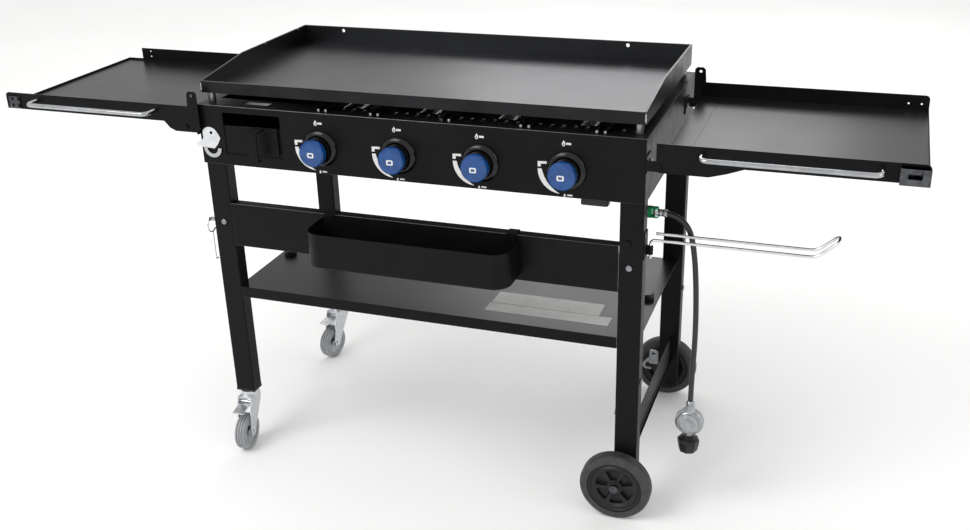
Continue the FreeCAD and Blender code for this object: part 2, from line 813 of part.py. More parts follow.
def rails():
    y0 = leg_front_y
    z0 = front_rail_bottom
    z1 = z0 + front_rail_height
    web = block(-leg_inner, leg_inner, y0, y0 + sheet, z0, z1)
    top = block(-leg_inner, leg_inner, y0, y0 + front_rail_flange, z1 - sheet, z1)
    low = block(-leg_inner, leg_inner, y0, y0 + front_rail_flange, z0, z0 + sheet)
    pieces["front_rail"] = join(web, top, low)
    x1 = leg_outer - wheel_rail_from_leg
    r0 = wheel_rail_bottom
    r1 = r0 + wheel_rail_height
    ya = leg_front_y + leg_depth
    yb = leg_back_y
    web = block(x1 - sheet, x1, ya, yb, r0, r1)
    lip = block(x1 - sheet, x1 + wheel_rail_lip, ya, yb, r0, r0 + sheet)
    pieces["wheel_rail"] = join(web, lip)


def lower_shelf():
    z = lower_shelf_height
    y0 = leg_front_y
    y1 = leg_back_y + 3
    top = block(-lower_shelf_half, lower_shelf_half, y0, y1, z - sheet, z)
    lip = block(-leg_inner, leg_inner, y0, y0 + sheet, z - sheet, z + lower_shelf_lip - sheet)
    hem = block(-leg_inner, leg_inner, y1 - sheet, y1, z - lower_shelf_hem, z)
    shelf = join(top, lip, hem)
    for side in (-1, 1):
        xa, xb = sorted((side * leg_inner, side * (lower_shelf_half + 1)))
        shelf = shelf.cut(block(xa, xb, y0 - 1, y0 + leg_depth, z - 5, z + 5))
        shelf = shelf.cut(block(xa, xb, leg_back_y, y1 + 1, z - 5, z + 5))
        shelf = shelf.cut(rod((side * hand_screw_x, hand_screw_y, z - 5), Z, bolt_shank_radius + fit, 10))
    pieces["lower_shelf"] = shelf


def condiment_bin():
    x0 = bin_left
    x1 = bin_left + bin_width
    y1 = leg_front_y - gap
    y0 = y1 - bin_depth
    z0 = bin_bottom
    z1 = bin_bottom + bin_height
    outer = block(x0, x1, y0, y1, z0, z1)
    front_corners = [e for e in outer.Edges if abs(e.Vertexes[0].Z - e.Vertexes[-1].Z) > 50
                     and e.CenterOfMass.y < y0 + 1]
    outer = outer.makeFillet(bin_corner, front_corners)
    under = [e for e in outer.Edges if e.CenterOfMass.z < z0 + 0.01 and e.CenterOfMass.y < y1 - 1]
    outer = outer.makeFillet(5, under)
    inner = block(x0 + sheet, x1 - sheet, y0 + sheet, y1 - sheet, z0 + sheet, z1 + 1)
    front_corners = [e for e in inner.Edges
                     if abs(e.Vertexes[0].Z - e.Vertexes[-1].Z) > 50 and e.CenterOfMass.y < y0 + sheet + 1]
    inner = inner.makeFillet(bin_corner - sheet, front_corners)
    shell = outer.cut(inner)
    rail_top = front_rail_bottom + front_rail_height
    for hx in (x0 + hook_inset, x1 - hook_inset - hook_width):
        riser = block(hx, hx + hook_width, y1 - sheet, y1, z1 - 6, rail_top + gap + sheet)
        over = block(hx, hx + hook_width, y1 - sheet, leg_front_y + front_rail_flange + gap + sheet,
                     rail_top + gap, rail_top + gap + sheet)
        down_y = leg_front_y + front_rail_flange + gap
        down = block(hx, hx + hook_width, down_y, down_y + sheet,
                     rail_top - hook_drop, rail_top + gap + sheet)
        shell = join(shell, riser, over, down)
    pieces["condiment_bin"] = shell


def plain_flange():
    """Outline of the long side that has no ear above the rim."""
    rim = shelf_height + shelf_rim
    low = shelf_height - shelf_skirt
    ear_low = shelf_height - ear_drop
    run_start = plain_end + plain_run
    return [(plain_end, rim), (shelf_outer, rim), (shelf_outer, low), (run_start + plain_run_slope, low),
            (run_start + 22, ear_low + 9), (run_start - 10, ear_low), (plain_end + 6, ear_low),
            (plain_end, ear_low + 8)]


def eared_flange(start):
    """Outline of the long side whose ear stands above the rim at the inner end."""
    rim = shelf_height + shelf_rim
    low = shelf_height - shelf_skirt
    ear_low = shelf_height - ear_drop
    ear_high = shelf_height + ear_top
    shoulder = start + ear_width
    return [(start, ear_high - 5), (start + 5, ear_high), (shoulder - 7, ear_high),
            (shoulder - 2, ear_high - 5),
            (shoulder, rim), (shelf_outer, rim), (shelf_outer, low), (start + ear_run + ear_run_slope, low),
            (start + ear_run + 4, ear_low + 6), (start + ear_run - 10, ear_low), (start + 6, ear_low),
            (start, ear_low + 8)]


def shelf_shape(ear_start, eared_y, plain_y):
    """Drawn on the right. The other shelf is the same part turned half round: its eared side is in front."""
    z = shelf_height
    rim = z + shelf_rim
    low = z - shelf_skirt
    y0 = shelf_front_y
    y1 = shelf_back_y
    top = block(shelf_inner, shelf_outer, y0, y1, z - sheet, z)
    flanges = []
    for y, outline in ((eared_y, eared_flange(ear_start)), (plain_y, plain_flange())):
        flange = slab([(px, y, pz) for px, pz in outline], Y, sheet)
        corner = [e for e in flange.Edges
                  if abs(e.CenterOfMass.x - shelf_outer) < 0.01 and abs(e.CenterOfMass.z - rim) < 0.01]
        flanges.append(flange.makeFillet(shelf_corner, corner))
    end = block(shelf_outer - sheet, shelf_outer, y0, y1, low, z + shelf_end_lip)
    shelf = join(top, flanges[0], flanges[1], end)
    groove_x = shelf_inner + crease_from_inner
    shelf = shelf.cut(block(groove_x, groove_x + 2, y0 + 20, y1 - 20, z - 0.6, z + 1))
    shelf = shelf.cut(rod((pivot_x, y0 - 1, pivot_z), Y, pivot_radius + fit, sheet + 2))
    shelf = shelf.cut(rod((pivot_x, y1 - sheet - 1, pivot_z), Y, pivot_radius + fit, sheet + 2))
    return shelf.cut(rod((ear_start + ear_width / 2, eared_y - 1, z + ear_top - 9), Y, 3, sheet + 2))


def towel_bar(shift=0.0):
    z = shelf_height + shelf_rim - bar_below_rim
    y = shelf_front_y
    start = bar_start - shift
    end = bar_end - shift
    points = [(start, y, z), (start, y - bar_reach, z), (end, y - bar_reach, z), (end, y, z)]
    return bent_rod(points, bar_radius, bar_bend)


def shelves():
    z = shelf_height + shelf_rim
    hole_z = z - 18
    back = shelf_back_y - sheet
    right = shelf_shape(half_box + ear_from_box_right, back, shelf_front_y)
    for x in (shelf_outer - 15, shelf_outer - 40):
        right = right.cut(rod((x, back - 1, hole_z), Y, rim_hole_radius, sheet + 2))
    left = shelf_shape(half_box + ear_from_box_left, shelf_front_y, back)
    spare = block(left_flange_end, shelf_outer + 1, back - 1, back + sheet + 1,
                  shelf_height + shelf_end_lip, z + 1)
    left = mirrored(left.cut(spare))
    for drop in (7, 20):
        left = left.cut(rod((-left_flange_end + 26, back - 1, z - drop), Y, rim_hole_radius, sheet + 2))
    pieces["shelf_right"] = right
    pieces["shelf_left"] = left
    pieces["towel_bar_right"] = towel_bar()
    pieces["towel_bar_left"] = mirrored(towel_bar(left_bar_shift))
    y = shelf_front_y
    low = shelf_height - shelf_skirt + 1
    left_end = shelf_outer - clip_width
    slot_left = left_end + clip_slot_from_left
    cup = block(left_end, shelf_outer, y - clip_reach, y, low, low + clip_height)
    cup = cup.cut(block(left_end + clip_wall, shelf_outer - clip_wall, y - clip_reach + clip_wall, y - sheet,
                        low + clip_wall, low + clip_height))
    cup = cup.cut(block(slot_left, slot_left + clip_slot_width, y - clip_reach - 1,
                        y - clip_reach + clip_wall + 1,
                        low + clip_height * 0.4, low + clip_height))
    pieces["shelf_clip_right"] = cup
    far = clip_plate_from_outer - shelf_outer
    near = far + clip_plate_width
    plate = block(far, near, y - clip_wall, y, low, low + clip_plate_height)
    studs = []
    for stud_x in (far + clip_stud, near - clip_stud):
        for stud_z in (low + clip_stud, low + clip_plate_height - clip_stud):
            studs.append(rod((stud_x, y - clip_wall - 3.5, stud_z), Y, clip_stud - 2, 4))
    pieces["shelf_clip_left"] = join(plate, *studs)


def hinge_brackets():
    """Angle brackets on the firebox sides; each carries the stud that one shelf ear turns on."""
    solids = []
    z = pivot_z
    wall_x = half_box
    for inward, ear_y in ((1, shelf_front_y + sheet + gap), (-1, shelf_back_y - sheet - gap)):
        ya, yb = sorted((ear_y, ear_y + inward * bracket_sheet))
        arm = block(wall_x, pivot_x, ya, yb, z - bracket_end_radius, z + bracket_end_radius)
        end = rod((pivot_x, ya, z), Y, bracket_end_radius, bracket_sheet)
        fa, fb = sorted((ear_y, ear_y + inward * (bracket_sheet + bracket_foot)))
        foot = block(wall_x, wall_x + bracket_sheet, fa, fb, z - bracket_half_height,
                     z + bracket_half_height)
        pin_start = ear_y - inward * (gap + sheet + 3)
        pa, pb = sorted((pin_start, ear_y + inward))
        pin = rod((pivot_x, pa, z), Y, pivot_radius, pb - pa)
        head_y = pa if inward == 1 else pb - pin_head
        head = rod((pivot_x, head_y, z), Y, pin_head_radius, pin_head)
        right = join(arm, end, foot, pin, head)
        for place in bracket_bolt_places():
            hole = bolt_hole((half_box + bracket_sheet, place, z), X, 8)
            if hole.BoundBox.intersect(right.BoundBox):
                right = right.cut(hole)
        solids.append(right)
        solids.append(mirrored(right))
    pieces["shelf_hinge_brackets"] = Part.makeCompound(solids)


def towel_holder():
    x = holder_pivot_x
    y = holder_pivot_y
    z = holder_height
    far = x + holder_run
    tip_x = far + holder_tip_run
    tip_z = z + holder_tip_rise
    back_y = y + holder_spread
    lift = holder_rise
    points = [(x, y, z - holder_pin), (x, y, z), (far, y, z), (tip_x, y, tip_z),
              (tip_x, back_y, tip_z + lift), (far, back_y, z + lift), (x + 6, back_y, z + lift)]
    pieces["towel_holder"] = bent_rod(points, holder_wire, holder_bend)
    sleeve_top = z - holder_bend - 2
    sleeve_outer = holder_wire + sleeve_wall
    sleeve = rod((x, y, sleeve_top - sleeve_length), Z, sleeve_outer, sleeve_length)
    arm = block(leg_outer, x, y - 4, y + 4, sleeve_top - sleeve_length, sleeve_top)
    plate = block(leg_outer, leg_outer + 2, leg_front_y + 5, leg_front_y + leg_depth - 1,
                  sleeve_top - sleeve_length - 6, z + 20)
    bracket = join(sleeve, arm, plate)
    pieces["towel_holder_bracket"] = bracket.cut(rod((x, y, sleeve_top - sleeve_length - 1), Z,
                                                     holder_wire + fit, sleeve_length + 2))


def wheels():
    for name, inner_y, outward in (("front", leg_front_y, -1), ("rear", leg_back_y + leg_depth, 1)):
        near = inner_y + outward * 3.0
        far = near + outward * wheel_width
        ya, yb = sorted((near, far))
        rim = wheel_radius - tyre_depth
        ring = tube((wheel_x, ya, axle_height), Y, wheel_radius, rim, yb - ya)
        shoulder = [e for e in ring.Edges if e.Length > 6.2 * (wheel_radius - 1)]
        pieces["wheel_tyre_" + name] = ring.makeFillet(8, shoulder)
        rim_ring = tube((wheel_x, ya + 2, axle_height), Y, rim, rim - rim_width, yb - ya - 4)
        hub = rod((wheel_x, ya, axle_height), Y, hub_radius, yb - ya)
        web = rod((wheel_x, (ya + yb - web_thickness) / 2, axle_height), Y, rim - rim_width + 1,
                  web_thickness)
        parts = [hub, web]
        for i in range(wheel_spokes):
            angle = 360.0 / wheel_spokes * i
            spoke = block(wheel_x - spoke_width / 2, wheel_x + spoke_width / 2, ya + 6, yb - 6,
                          axle_height + hub_radius - 4, axle_height + rim - rim_width + 1)
            spoke.rotate(V(wheel_x, 0, axle_height), Y, angle)
            parts.append(spoke)
        wheel = join(rim_ring, *parts)
        pieces["wheel_hub_" + name] = wheel.cut(rod((wheel_x, ya - 1, axle_height), Y, axle_radius + fit,
                                                    yb - ya + 2))
    axles = []
    for inner_y, outward in ((leg_front_y, -1), (leg_back_y + leg_depth, 1)):
        far = inner_y + outward * (3.0 + wheel_width + 0.5)
        tail = inner_y - outward * (leg_depth + 3)
        ya, yb = sorted((far, tail))
        shaft = rod((wheel_x, ya, axle_height), Y, axle_radius, yb - ya)
        cap_y = far if outward == 1 else far - 4
        cap = rod((wheel_x, cap_y, axle_height), Y, 9, 4)
        nut_y = tail - 3 if outward == 1 else tail
        nut = rod((wheel_x, nut_y, axle_height), Y, 8, 3)
        spacer_ya, spacer_yb = sorted((inner_y, inner_y + outward * 2.7))
        spacer = rod((wheel_x, spacer_ya, axle_height), Y, 8, spacer_yb - spacer_ya)
        axles.append(join(shaft, cap, nut, spacer))
    pieces["wheel_axles"] = Part.makeCompound(axles)


def caster(leg_y, turn, name):
    """Drawn with its axle along X and its trail towards -Y, then turned about the stem."""
    x = -leg_mid
    y = leg_y + leg_depth / 2
    top = left_leg_bottom
    axle_z = caster_axle_height
    wheel_y = y - caster_trail
    side = caster_wheel_width / 2 + caster_fork_gap
    plug_x = leg_width / 2 - sheet - gap
    plug_y = leg_depth / 2 - sheet - gap
    socket = block(x - plug_x, x + plug_x, y - plug_y, y + plug_y, top, top + caster_socket_height)
    cover = block(x - leg_width / 2, x + leg_width / 2, y - leg_depth / 2, y + leg_depth / 2,
                  top - caster_plug, top)
    socket = join(socket, cover).cut(rod((x, y, top - caster_plug - 1), Z, caster_stem_radius + fit,
                                      caster_socket_height + 10))
    race_top = top - caster_plug - gap
    stem = rod((x, y, race_top - 4), Z, caster_stem_radius, gap + caster_plug + caster_socket_height)
    race = rod((x, y, race_top - caster_race_height), Z, caster_race_radius, caster_race_height)
    crown_z = race_top - caster_race_height
    crown = block(x - side - caster_fork_sheet, x + side + caster_fork_sheet, y - 26, y + 17, crown_z - 3,
                  crown_z)
    cheeks = []
    for s in (-1, 1):
        inner_x = x + s * side
        outer_x = inner_x + s * caster_fork_sheet
        xa = min(inner_x, outer_x)
        outline = [(xa, y + 17, crown_z), (xa, y - 30, crown_z), (xa, y - 36, crown_z - 22),
                   (xa, wheel_y - 11, axle_z + 6), (xa, wheel_y - 7, axle_z - 9),
                   (xa, wheel_y + 7, axle_z - 9), (xa, wheel_y + 20, axle_z + 14),
                   (xa, y + 17, crown_z - 18)]
        cheeks.append(slab(outline, X, caster_fork_sheet))
    axle = rod((x - side - caster_fork_sheet - 3, wheel_y, axle_z), X, 4, 2 * (side + caster_fork_sheet + 3))
    fork = join(stem, race, crown, axle, *cheeks)
    half = caster_wheel_width / 2
    wheel = rod((x - half, wheel_y, axle_z), X, caster_wheel_radius, caster_wheel_width)
    wheel = wheel.makeFillet(6, [e for e in wheel.Edges if e.Length > 6 * caster_wheel_radius])
    dish = tube((x + half - 3, wheel_y, axle_z), X, 24, 9, 4)
    dish_back = tube((x - half - 1, wheel_y, axle_z), X, 24, 9, 4)
    bore = rod((x - half - 1, wheel_y, axle_z), X, 4 + fit, caster_wheel_width + 2)
    wheel = wheel.cut(dish).cut(dish_back).cut(bore)
    pivot_y = y - 22
    pivot_zc = crown_z - pedal_below_crown
    knuckle = rod((x - side + 0.4, pivot_y, pivot_zc), X, 4, 2 * side - 0.8)
    left = x - pedal_width / 2
    tip_y = pivot_y - pedal_length
    paddle = slab([(left, pivot_y, pivot_zc + 2), (left, tip_y, pivot_zc - 5),
                   (left, tip_y, pivot_zc - 8), (left, pivot_y, pivot_zc - 2)], X, pedal_width)
    pedal = join(knuckle, paddle)
    for shape in (fork, wheel, pedal):
        shape.rotate(V(x, y, 0), Z, turn)
    pieces["caster_fork_" + name] = fork
    pieces["caster_wheel_" + name] = wheel
    pieces["caster_brake_" + name] = pedal
    return socket


def casters():
    sockets = [caster(leg_front_y, caster_front_turn, "front"), caster(leg_back_y, caster_rear_turn, "rear")]
    pieces["caster_sockets"] = Part.makeCompound(sockets)


def gas_line():
    hose, length, radii = swept(hose_route, hose_radius)
    pieces["gas_hose"] = hose
    section = math.pi * hose_radius ** 2
    print("hose length %.1f, volume over section %.1f" % (length, hose.Volume / section))
    print("hose radii", [round(r) for r in radii])
    end = V(*hose_route[-1])
    neck_top = end.z
    body_mid = neck_top - regulator_neck - regulator_radius
    neck = rod((end.x, end.y, body_mid + regulator_radius - 6), Z, 9,
               neck_top - body_mid - regulator_radius + 6)
    disc = rod((end.x, end.y - regulator_thickness / 2, body_mid), Y, regulator_radius, regulator_thickness)
    disc = disc.makeFillet(7, [e for e in disc.Edges if e.Length > 6 * regulator_radius])
    spout_end = body_mid - regulator_radius - regulator_spout
    spout = rod((end.x, end.y, spout_end), Z, 10, regulator_spout + 6)
    pieces["gas_regulator"] = join(disc, neck, spout)
    nut_top = spout_end - gap
    nut = rod((end.x, end.y, nut_top - nut_height), Z, nut_radius, nut_height - nut_shoulder)
    nut = nut.makeChamfer(nut_chamfer, [e for e in nut.Edges if e.Length > 6 * nut_radius])
    neck = rod((end.x, end.y, nut_top - nut_shoulder - 1), Z, nut_neck_radius, nut_shoulder + 1)
    bore = rod((end.x, end.y, nut_top - nut_height - 1), Z, nut_bore_radius, nut_bore_depth + 1)
    pieces["tank_nut"] = join(nut, neck).cut(bore)


def small_parts():
    # igniter housing under the panel
    housing = rounded_rectangle(igniter_right - igniter_width, igniter_right,
                                panel_inside + 1, panel_inside + 1 + igniter_depth,
                                panel_bottom - igniter_height, 6, igniter_height)
    pieces["igniter_box"] = housing
    # stamped opener on the panel's left end
    y1 = panel_face
    y0 = y1 - 2
    plate = rod((opener_x, y0, opener_z), Y, 13, 2)
    neck = slab([(opener_x - 13, y0, opener_z), (opener_x + 13, y0, opener_z),
                 (opener_x + 22, y0, opener_z - 7),
                 (opener_x + 6, y0, opener_z - 36), (opener_x - 13, y0, opener_z - 36)], Y, 2)
    wing = block(opener_x - 13 - 30, opener_x + 20, y0 - 6, y1, opener_z - 38, opener_z - 36)
    ring = tube((opener_x, y0 - 2, opener_z - 38), Y, 21, 12, 4)
    ring = ring.cut(block(opener_x - 30, opener_x + 30, y0 - 10, y1 + 2, opener_z - 38, opener_z - 10))
    opener = join(plate, neck, wing, ring)
    pieces["bottle_opener"] = opener.cut(rod((opener_x, y0 - 1, opener_z + 1), Y, 3, 4))
    # hook on the inner face of the right rear leg
    hx = leg_inner
    face_y = leg_back_y + 5
    arm_low = hook_bottom + 4
    foot = block(hx - hook_sheet, hx, face_y, leg_back_y + leg_depth - 5, hook_bottom,
                 hook_bottom + hook_foot_height)
    arm = block(hx - hook_reach, hx, face_y, face_y + hook_sheet, arm_low, arm_low + hook_height)
    arm = arm.cut(rod((hx - hook_reach + 10, face_y - 1, arm_low + 12), Y, hook_hole_radius, hook_sheet + 2))
    lip = block(hx - hook_reach, hx - hook_reach + hook_sheet, leg_back_y - 8, face_y + hook_sheet, arm_low,
                arm_low + hook_curl_height)
    pieces["tank_hook"] = join(foot, arm, lip)
    # wire ring with a tail, hung on a peg on the outside of the left front leg
    x = -leg_outer - match_peg_reach
    ring_z = match_peg_height - match_ring + match_wire + match_peg_radius + fit
    ring = Part.makeTorus(match_ring, match_wire, V(x, match_peg_y, ring_z), X)
    tail = rod((x, match_peg_y, ring_z - match_ring), Z * -1, match_wire, match_tail)
    foot = rod((x, match_peg_y, ring_z - match_ring - match_tail), Y, match_wire, 8)
    pieces["match_holder"] = join(ring, tail, foot)


griddle()
control_panel()
firebox()
vent_rail()
burners()
gas_train()
controls()
grease_drawer()
legs()
fasteners()
rails()
lower_shelf()
condiment_bin()
shelves()
hinge_brackets()
towel_holder()
wheels()
casters()
gas_line()
small_parts()

cord_pieces = ("hose_swivel", "gas_hose", "gas_regulator", "tank_nut")
body_box = FreeCAD.BoundBox()
for name, shape in pieces.items():
    if name not in cord_pieces:
        body_box.add(shape.optimalBoundingBox(False, False))
shift = V(-(body_box.XMin + body_box.XMax) / 2, -(body_box.YMin + body_box.YMax) / 2, -floor_level)
print("shift to the middle of the footprint", round(shift.x, 3), round(shift.y, 3), "lowest",
      round(body_box.ZMin, 3))
os.makedirs("parts", exist_ok=True)
for name, shape in sorted(pieces.items()):
    shape.translate(shift)
    if not shape.isValid():
        print("not valid:", name)
    shape.exportStep("parts/%s.step" % name)
print(len(pieces), "nodes")
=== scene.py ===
import bpy
import bmesh
import json
import math
from mathutils import Matrix, Vector


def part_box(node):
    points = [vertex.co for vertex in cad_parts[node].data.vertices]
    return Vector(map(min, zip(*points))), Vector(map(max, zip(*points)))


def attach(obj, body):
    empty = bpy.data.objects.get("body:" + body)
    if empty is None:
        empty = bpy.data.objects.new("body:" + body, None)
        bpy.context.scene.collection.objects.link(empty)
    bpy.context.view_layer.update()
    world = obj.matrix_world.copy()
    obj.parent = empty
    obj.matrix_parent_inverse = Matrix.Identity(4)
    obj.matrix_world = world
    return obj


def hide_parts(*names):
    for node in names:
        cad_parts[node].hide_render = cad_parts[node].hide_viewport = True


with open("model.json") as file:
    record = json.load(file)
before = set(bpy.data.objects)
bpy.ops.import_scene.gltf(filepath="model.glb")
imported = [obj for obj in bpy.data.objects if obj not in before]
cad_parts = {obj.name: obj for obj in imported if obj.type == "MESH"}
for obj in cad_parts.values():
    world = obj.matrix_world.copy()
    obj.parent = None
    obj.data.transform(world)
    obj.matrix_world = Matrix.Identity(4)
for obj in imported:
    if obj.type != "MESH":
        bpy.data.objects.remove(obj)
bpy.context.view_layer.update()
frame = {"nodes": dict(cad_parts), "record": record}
nodes = frame["nodes"]
bodyOf = {}
for body, names in frame["record"]["behaviour"]["bodies"].items():
    for name in names:
        bodyOf[name] = body
slotOf = {part["node"]: part["material_slot"] for part in frame["record"]["subparts"]}
print("frame loaded:", len(nodes), "nodes")

millimetre = 0.001
# The drawing starts at the griddle's front wall and on a floor of its own; the frame's origin is elsewhere
drawingShift = Vector((0.0, -0.2151, -0.007))


def place(x, y, z):
    return Vector((x, y, z)) * millimetre + drawingShift


def drawnBox(name):  # a node's corners in drawing mm
    return [(Vector(corner) - drawingShift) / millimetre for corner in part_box(name)]


# Materials
def linearColour(hexText):
    value = hexText.lstrip("#")
    out = []
    for i in (0, 2, 4):
        c = int(value[i:i + 2], 16) / 255
        out.append(c / 12.92 if c <= 0.04045 else ((c + 0.055) / 1.055) ** 2.4)
    return (*out, 1.0)


def addNode(tree, kind, settings=None, links=None):
    node = tree.nodes.new(kind)
    for name, value in (settings or {}).items():
        if name in node.inputs:
            node.inputs[name].default_value = value
        else:
            setattr(node, name, value)
    for name, source in (links or {}).items():
        tree.links.new(source, node.inputs[name])
    return node


def newMaterial(name, numbers=None):
    material = bpy.data.materials.new(name)
    material.use_nodes = True
    tree = material.node_tree
    tree.nodes.clear()
    output = addNode(tree, "ShaderNodeOutputMaterial")
    shader = addNode(tree, "ShaderNodeBsdfPrincipled", numbers)
    tree.links.new(shader.outputs["BSDF"], output.inputs["Surface"])
    coordinates = addNode(tree, "ShaderNodeTexCoord").outputs["Object"]
    return material, tree, shader, coordinates


def patches(tree, coordinates, size, detail):  # noise whose patches are about size mm wide
    return addNode(tree, "ShaderNodeTexNoise", {"Scale": 1.0 / (size * millimetre), "Detail": detail},
                   {"Vector": coordinates})


def mottled(tree, coordinates, shader, dark, light, size):
    noise = patches(tree, coordinates, size, 3.0)
    ramp = addNode(tree, "ShaderNodeValToRGB", None, {"Fac": noise.outputs["Fac"]})
    ramp.color_ramp.elements[0].position = 0.35
    ramp.color_ramp.elements[0].color = linearColour(dark)
    ramp.color_ramp.elements[1].position = 0.65
    ramp.color_ramp.elements[1].color = linearColour(light)
    tree.links.new(ramp.outputs["Color"], shader.inputs["Base Color"])


def grainBump(tree, coordinates, shader, size, strength, depth):
    noise = patches(tree, coordinates, size, 2.0)
    bump = addNode(tree, "ShaderNodeBump", {"Strength": strength, "Distance": depth * millimetre},
                   {"Height": noise.outputs["Fac"]})
    tree.links.new(bump.outputs["Normal"], shader.inputs["Normal"])


def unevenGloss(tree, coordinates, shader, size, low, high):
    noise = patches(tree, coordinates, size, 4.0)
    spread = addNode(tree, "ShaderNodeMapRange",
                     {"From Min": 0.3, "From Max": 0.7, "To Min": low, "To Max": high},
                     {"Value": noise.outputs["Fac"]})
    tree.links.new(spread.outputs["Result"], shader.inputs["Roughness"])


def finish(name, numbers, colours, gloss, grain=None):
    # numbers on the shader's own sockets; colours (dark, light, patch mm); gloss (patch mm, low, high)
    material, tree, shader, coordinates = newMaterial(name, numbers)
    mottled(tree, coordinates, shader, *colours)
    unevenGloss(tree, coordinates, shader, *gloss)
    if grain:
        grainBump(tree, coordinates, shader, *grain)
    return material


# Camera, at the photograph's own viewing angle (970 x 530 frame)
cameraView = {"place": (0.8629, -2.1531, 1.4447), "azimuth": 20.211, "elevation": 23.913, "roll": -1.656,
              "lens": 41.395, "sensor": 36.0, "nearest": 0.05}
cameraData = bpy.data.cameras.new("camera")
camera = bpy.data.objects.new("camera", cameraData)
bpy.context.scene.collection.objects.link(camera)
cameraData.sensor_width = cameraView["sensor"]
cameraData.sensor_fit = "HORIZONTAL"
cameraData.lens = cameraView["lens"]
cameraData.clip_start = cameraView["nearest"]
turn = (Matrix.Rotation(math.radians(cameraView["azimuth"]), 4, "Z")
        @ Matrix.Rotation(math.radians(90 - cameraView["elevation"]), 4, "X")
        @ Matrix.Rotation(math.radians(cameraView["roll"]), 4, "Z"))
camera.matrix_world = Matrix.Translation(cameraView["place"]) @ turn
bpy.context.scene.camera = camera

# Black nitrile rubber hose: a matt extruded skin with a soft sheen
hoseRubber = finish("blackNitrileRubber", {"IOR": 1.5}, ("#151516", "#1d1d1f", 12.0), (9.0, 0.28, 0.38),
                    (1.2, 0.15, 0.1))
# Tumbled zinc die-casting: pale grey, slightly satin
castMetal = finish("tumbledZincDiecasting", {"Metallic": 1.0}, ("#96989b", "#aeb0b3", 9.0), (6.0, 0.28, 0.42),
                   (1.0, 0.15, 0.06))
# Black moulded polypropylene: satin skin
blackPlastic = finish("mouldedBlackPolypropylene", {"IOR": 1.49, "Specular IOR Level": 0.4},
                      ("#0f0f11", "#151517", 16.0), (8.0, 0.34, 0.46), (1.4, 0.12, 0.08))

# Gas hose: the points of its route, in the drawing's millimetres
gasHose = {
    "route": [(490.0, 50.0, 667.0), (510.0, 50.0, 667.0), (528.7, 50.0, 660.0), (543.9, 50.2, 647.0),
              (553.5, 50.5, 629.4), (561.5, 50.0, 592.0), (567.5, 48.0, 540.0), (572.0, 44.5, 470.0),
              (573.4, 41.5, 394.0), (571.3, 40.4, 328.0), (571.3, 40.4, 270.0)],
    "radius": 5.5,
    "length": 0.4402,  # in metres, along the axis
    "roundness": 6, "smoothness": 16,
}


def deselectAll():
    if bpy.context.mode != "OBJECT":
        bpy.ops.object.mode_set(mode="OBJECT")
    bpy.ops.object.select_all(action="DESELECT")


def choose(piece):
    deselectAll()
    piece.select_set(True)
    bpy.context.view_layer.objects.active = piece


def applied(piece, kind, settings):  # a modifier added with its settings and applied
    choose(piece)
    modifier = piece.modifiers.new(kind.lower(), kind)
    for name, value in settings.items():
        setattr(modifier, name, value)
    bpy.ops.object.modifier_apply(modifier=modifier.name)


def bevelled(piece, width, angle, segments=2):  # width in mm, on edges sharper than angle in degrees
    applied(piece, "BEVEL", {"width": width * millimetre, "segments": segments, "limit_method": "ANGLE",
                             "angle_limit": math.radians(angle)})


def smoothed(piece, degrees=32):
    choose(piece)
    bpy.ops.object.shade_smooth_by_angle(angle=math.radians(degrees))


def meshFrom(piece, material):  # a curve turned to a mesh of one material
    choose(piece)
    bpy.ops.object.convert(target="MESH")
    piece = bpy.context.active_object
    piece.data.materials.clear()
    piece.data.materials.append(material)
    return piece


def putOn(piece, body, replaced=()):
    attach(piece, body)
    for name in replaced:
        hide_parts(name)


def turnedPiece(name, profile, centre, axis, material, steps=48):
    # profile: closed list of (place along the axis, radius) in mm, spun once round the axis
    axis = Vector(axis).normalized()
    outward = axis.orthogonal().normalized()
    start = place(*centre)
    deselectAll()
    bpy.ops.mesh.primitive_circle_add(vertices=len(profile), radius=0.01, location=(0, 0, 0))
    piece = bpy.context.active_object
    piece.name = name
    for vertex, (along, radius) in zip(piece.data.vertices, profile):
        vertex.co = start + (axis * along + outward * radius) * millimetre
    bpy.ops.object.mode_set(mode="EDIT")
    bpy.ops.mesh.select_all(action="SELECT")
    bpy.ops.mesh.spin(steps=steps, angle=math.tau, center=start, axis=axis)
    bpy.ops.mesh.select_all(action="SELECT")
    bpy.ops.mesh.remove_doubles(threshold=0.00002)
    bpy.ops.mesh.delete_loose(use_verts=True, use_edges=True, use_faces=False)
    bpy.ops.mesh.select_all(action="SELECT")
    bpy.ops.mesh.normals_make_consistent(inside=False)
    bpy.ops.object.mode_set(mode="OBJECT")
    piece.data.materials.append(material)
    smoothed(piece)
    return piece


def joined(name, pieces):
    deselectAll()
    for piece in pieces:
        piece.select_set(True)
    bpy.context.view_layer.objects.active = pieces[0]
    bpy.ops.object.join()
    pieces[0].name = name
    return pieces[0]


# Regulator: a die-cast shell with stepped rims, a tapered neck and a spout for its moulded nut
regulator = {
    "centre": (571.3, 40.4, 221.0),
    "shell": [(-14, 0), (-14, 9), (-15, 11), (-15, 19), (-13.8, 21), (-12.4, 21.4), (-12.4, 23.4),
              (-10.5, 25.4), (-8, 26), (-7.2, 28.2), (-6, 29), (-2.4, 29), (-1.6, 27.6), (1.6, 27.6),
              (2.4, 29), (6, 29),
              (7.2, 28.2), (8, 26), (10.5, 25.4), (12.4, 23.4), (12.4, 21.4), (13.8, 21), (15, 19), (15, 0)],
    "neck": [(20, 0), (20, 12.5), (27, 12), (33, 9.2), (38, 7.6), (40, 8.4), (46, 8.4), (47.5, 7), (49, 7),
             (49, 0)],
    "spout": [(-34, 0), (-34, 9), (-32, 10), (-24, 10), (-24, 0)],
    "shellSteps": 64, "pipeSteps": 32,
}
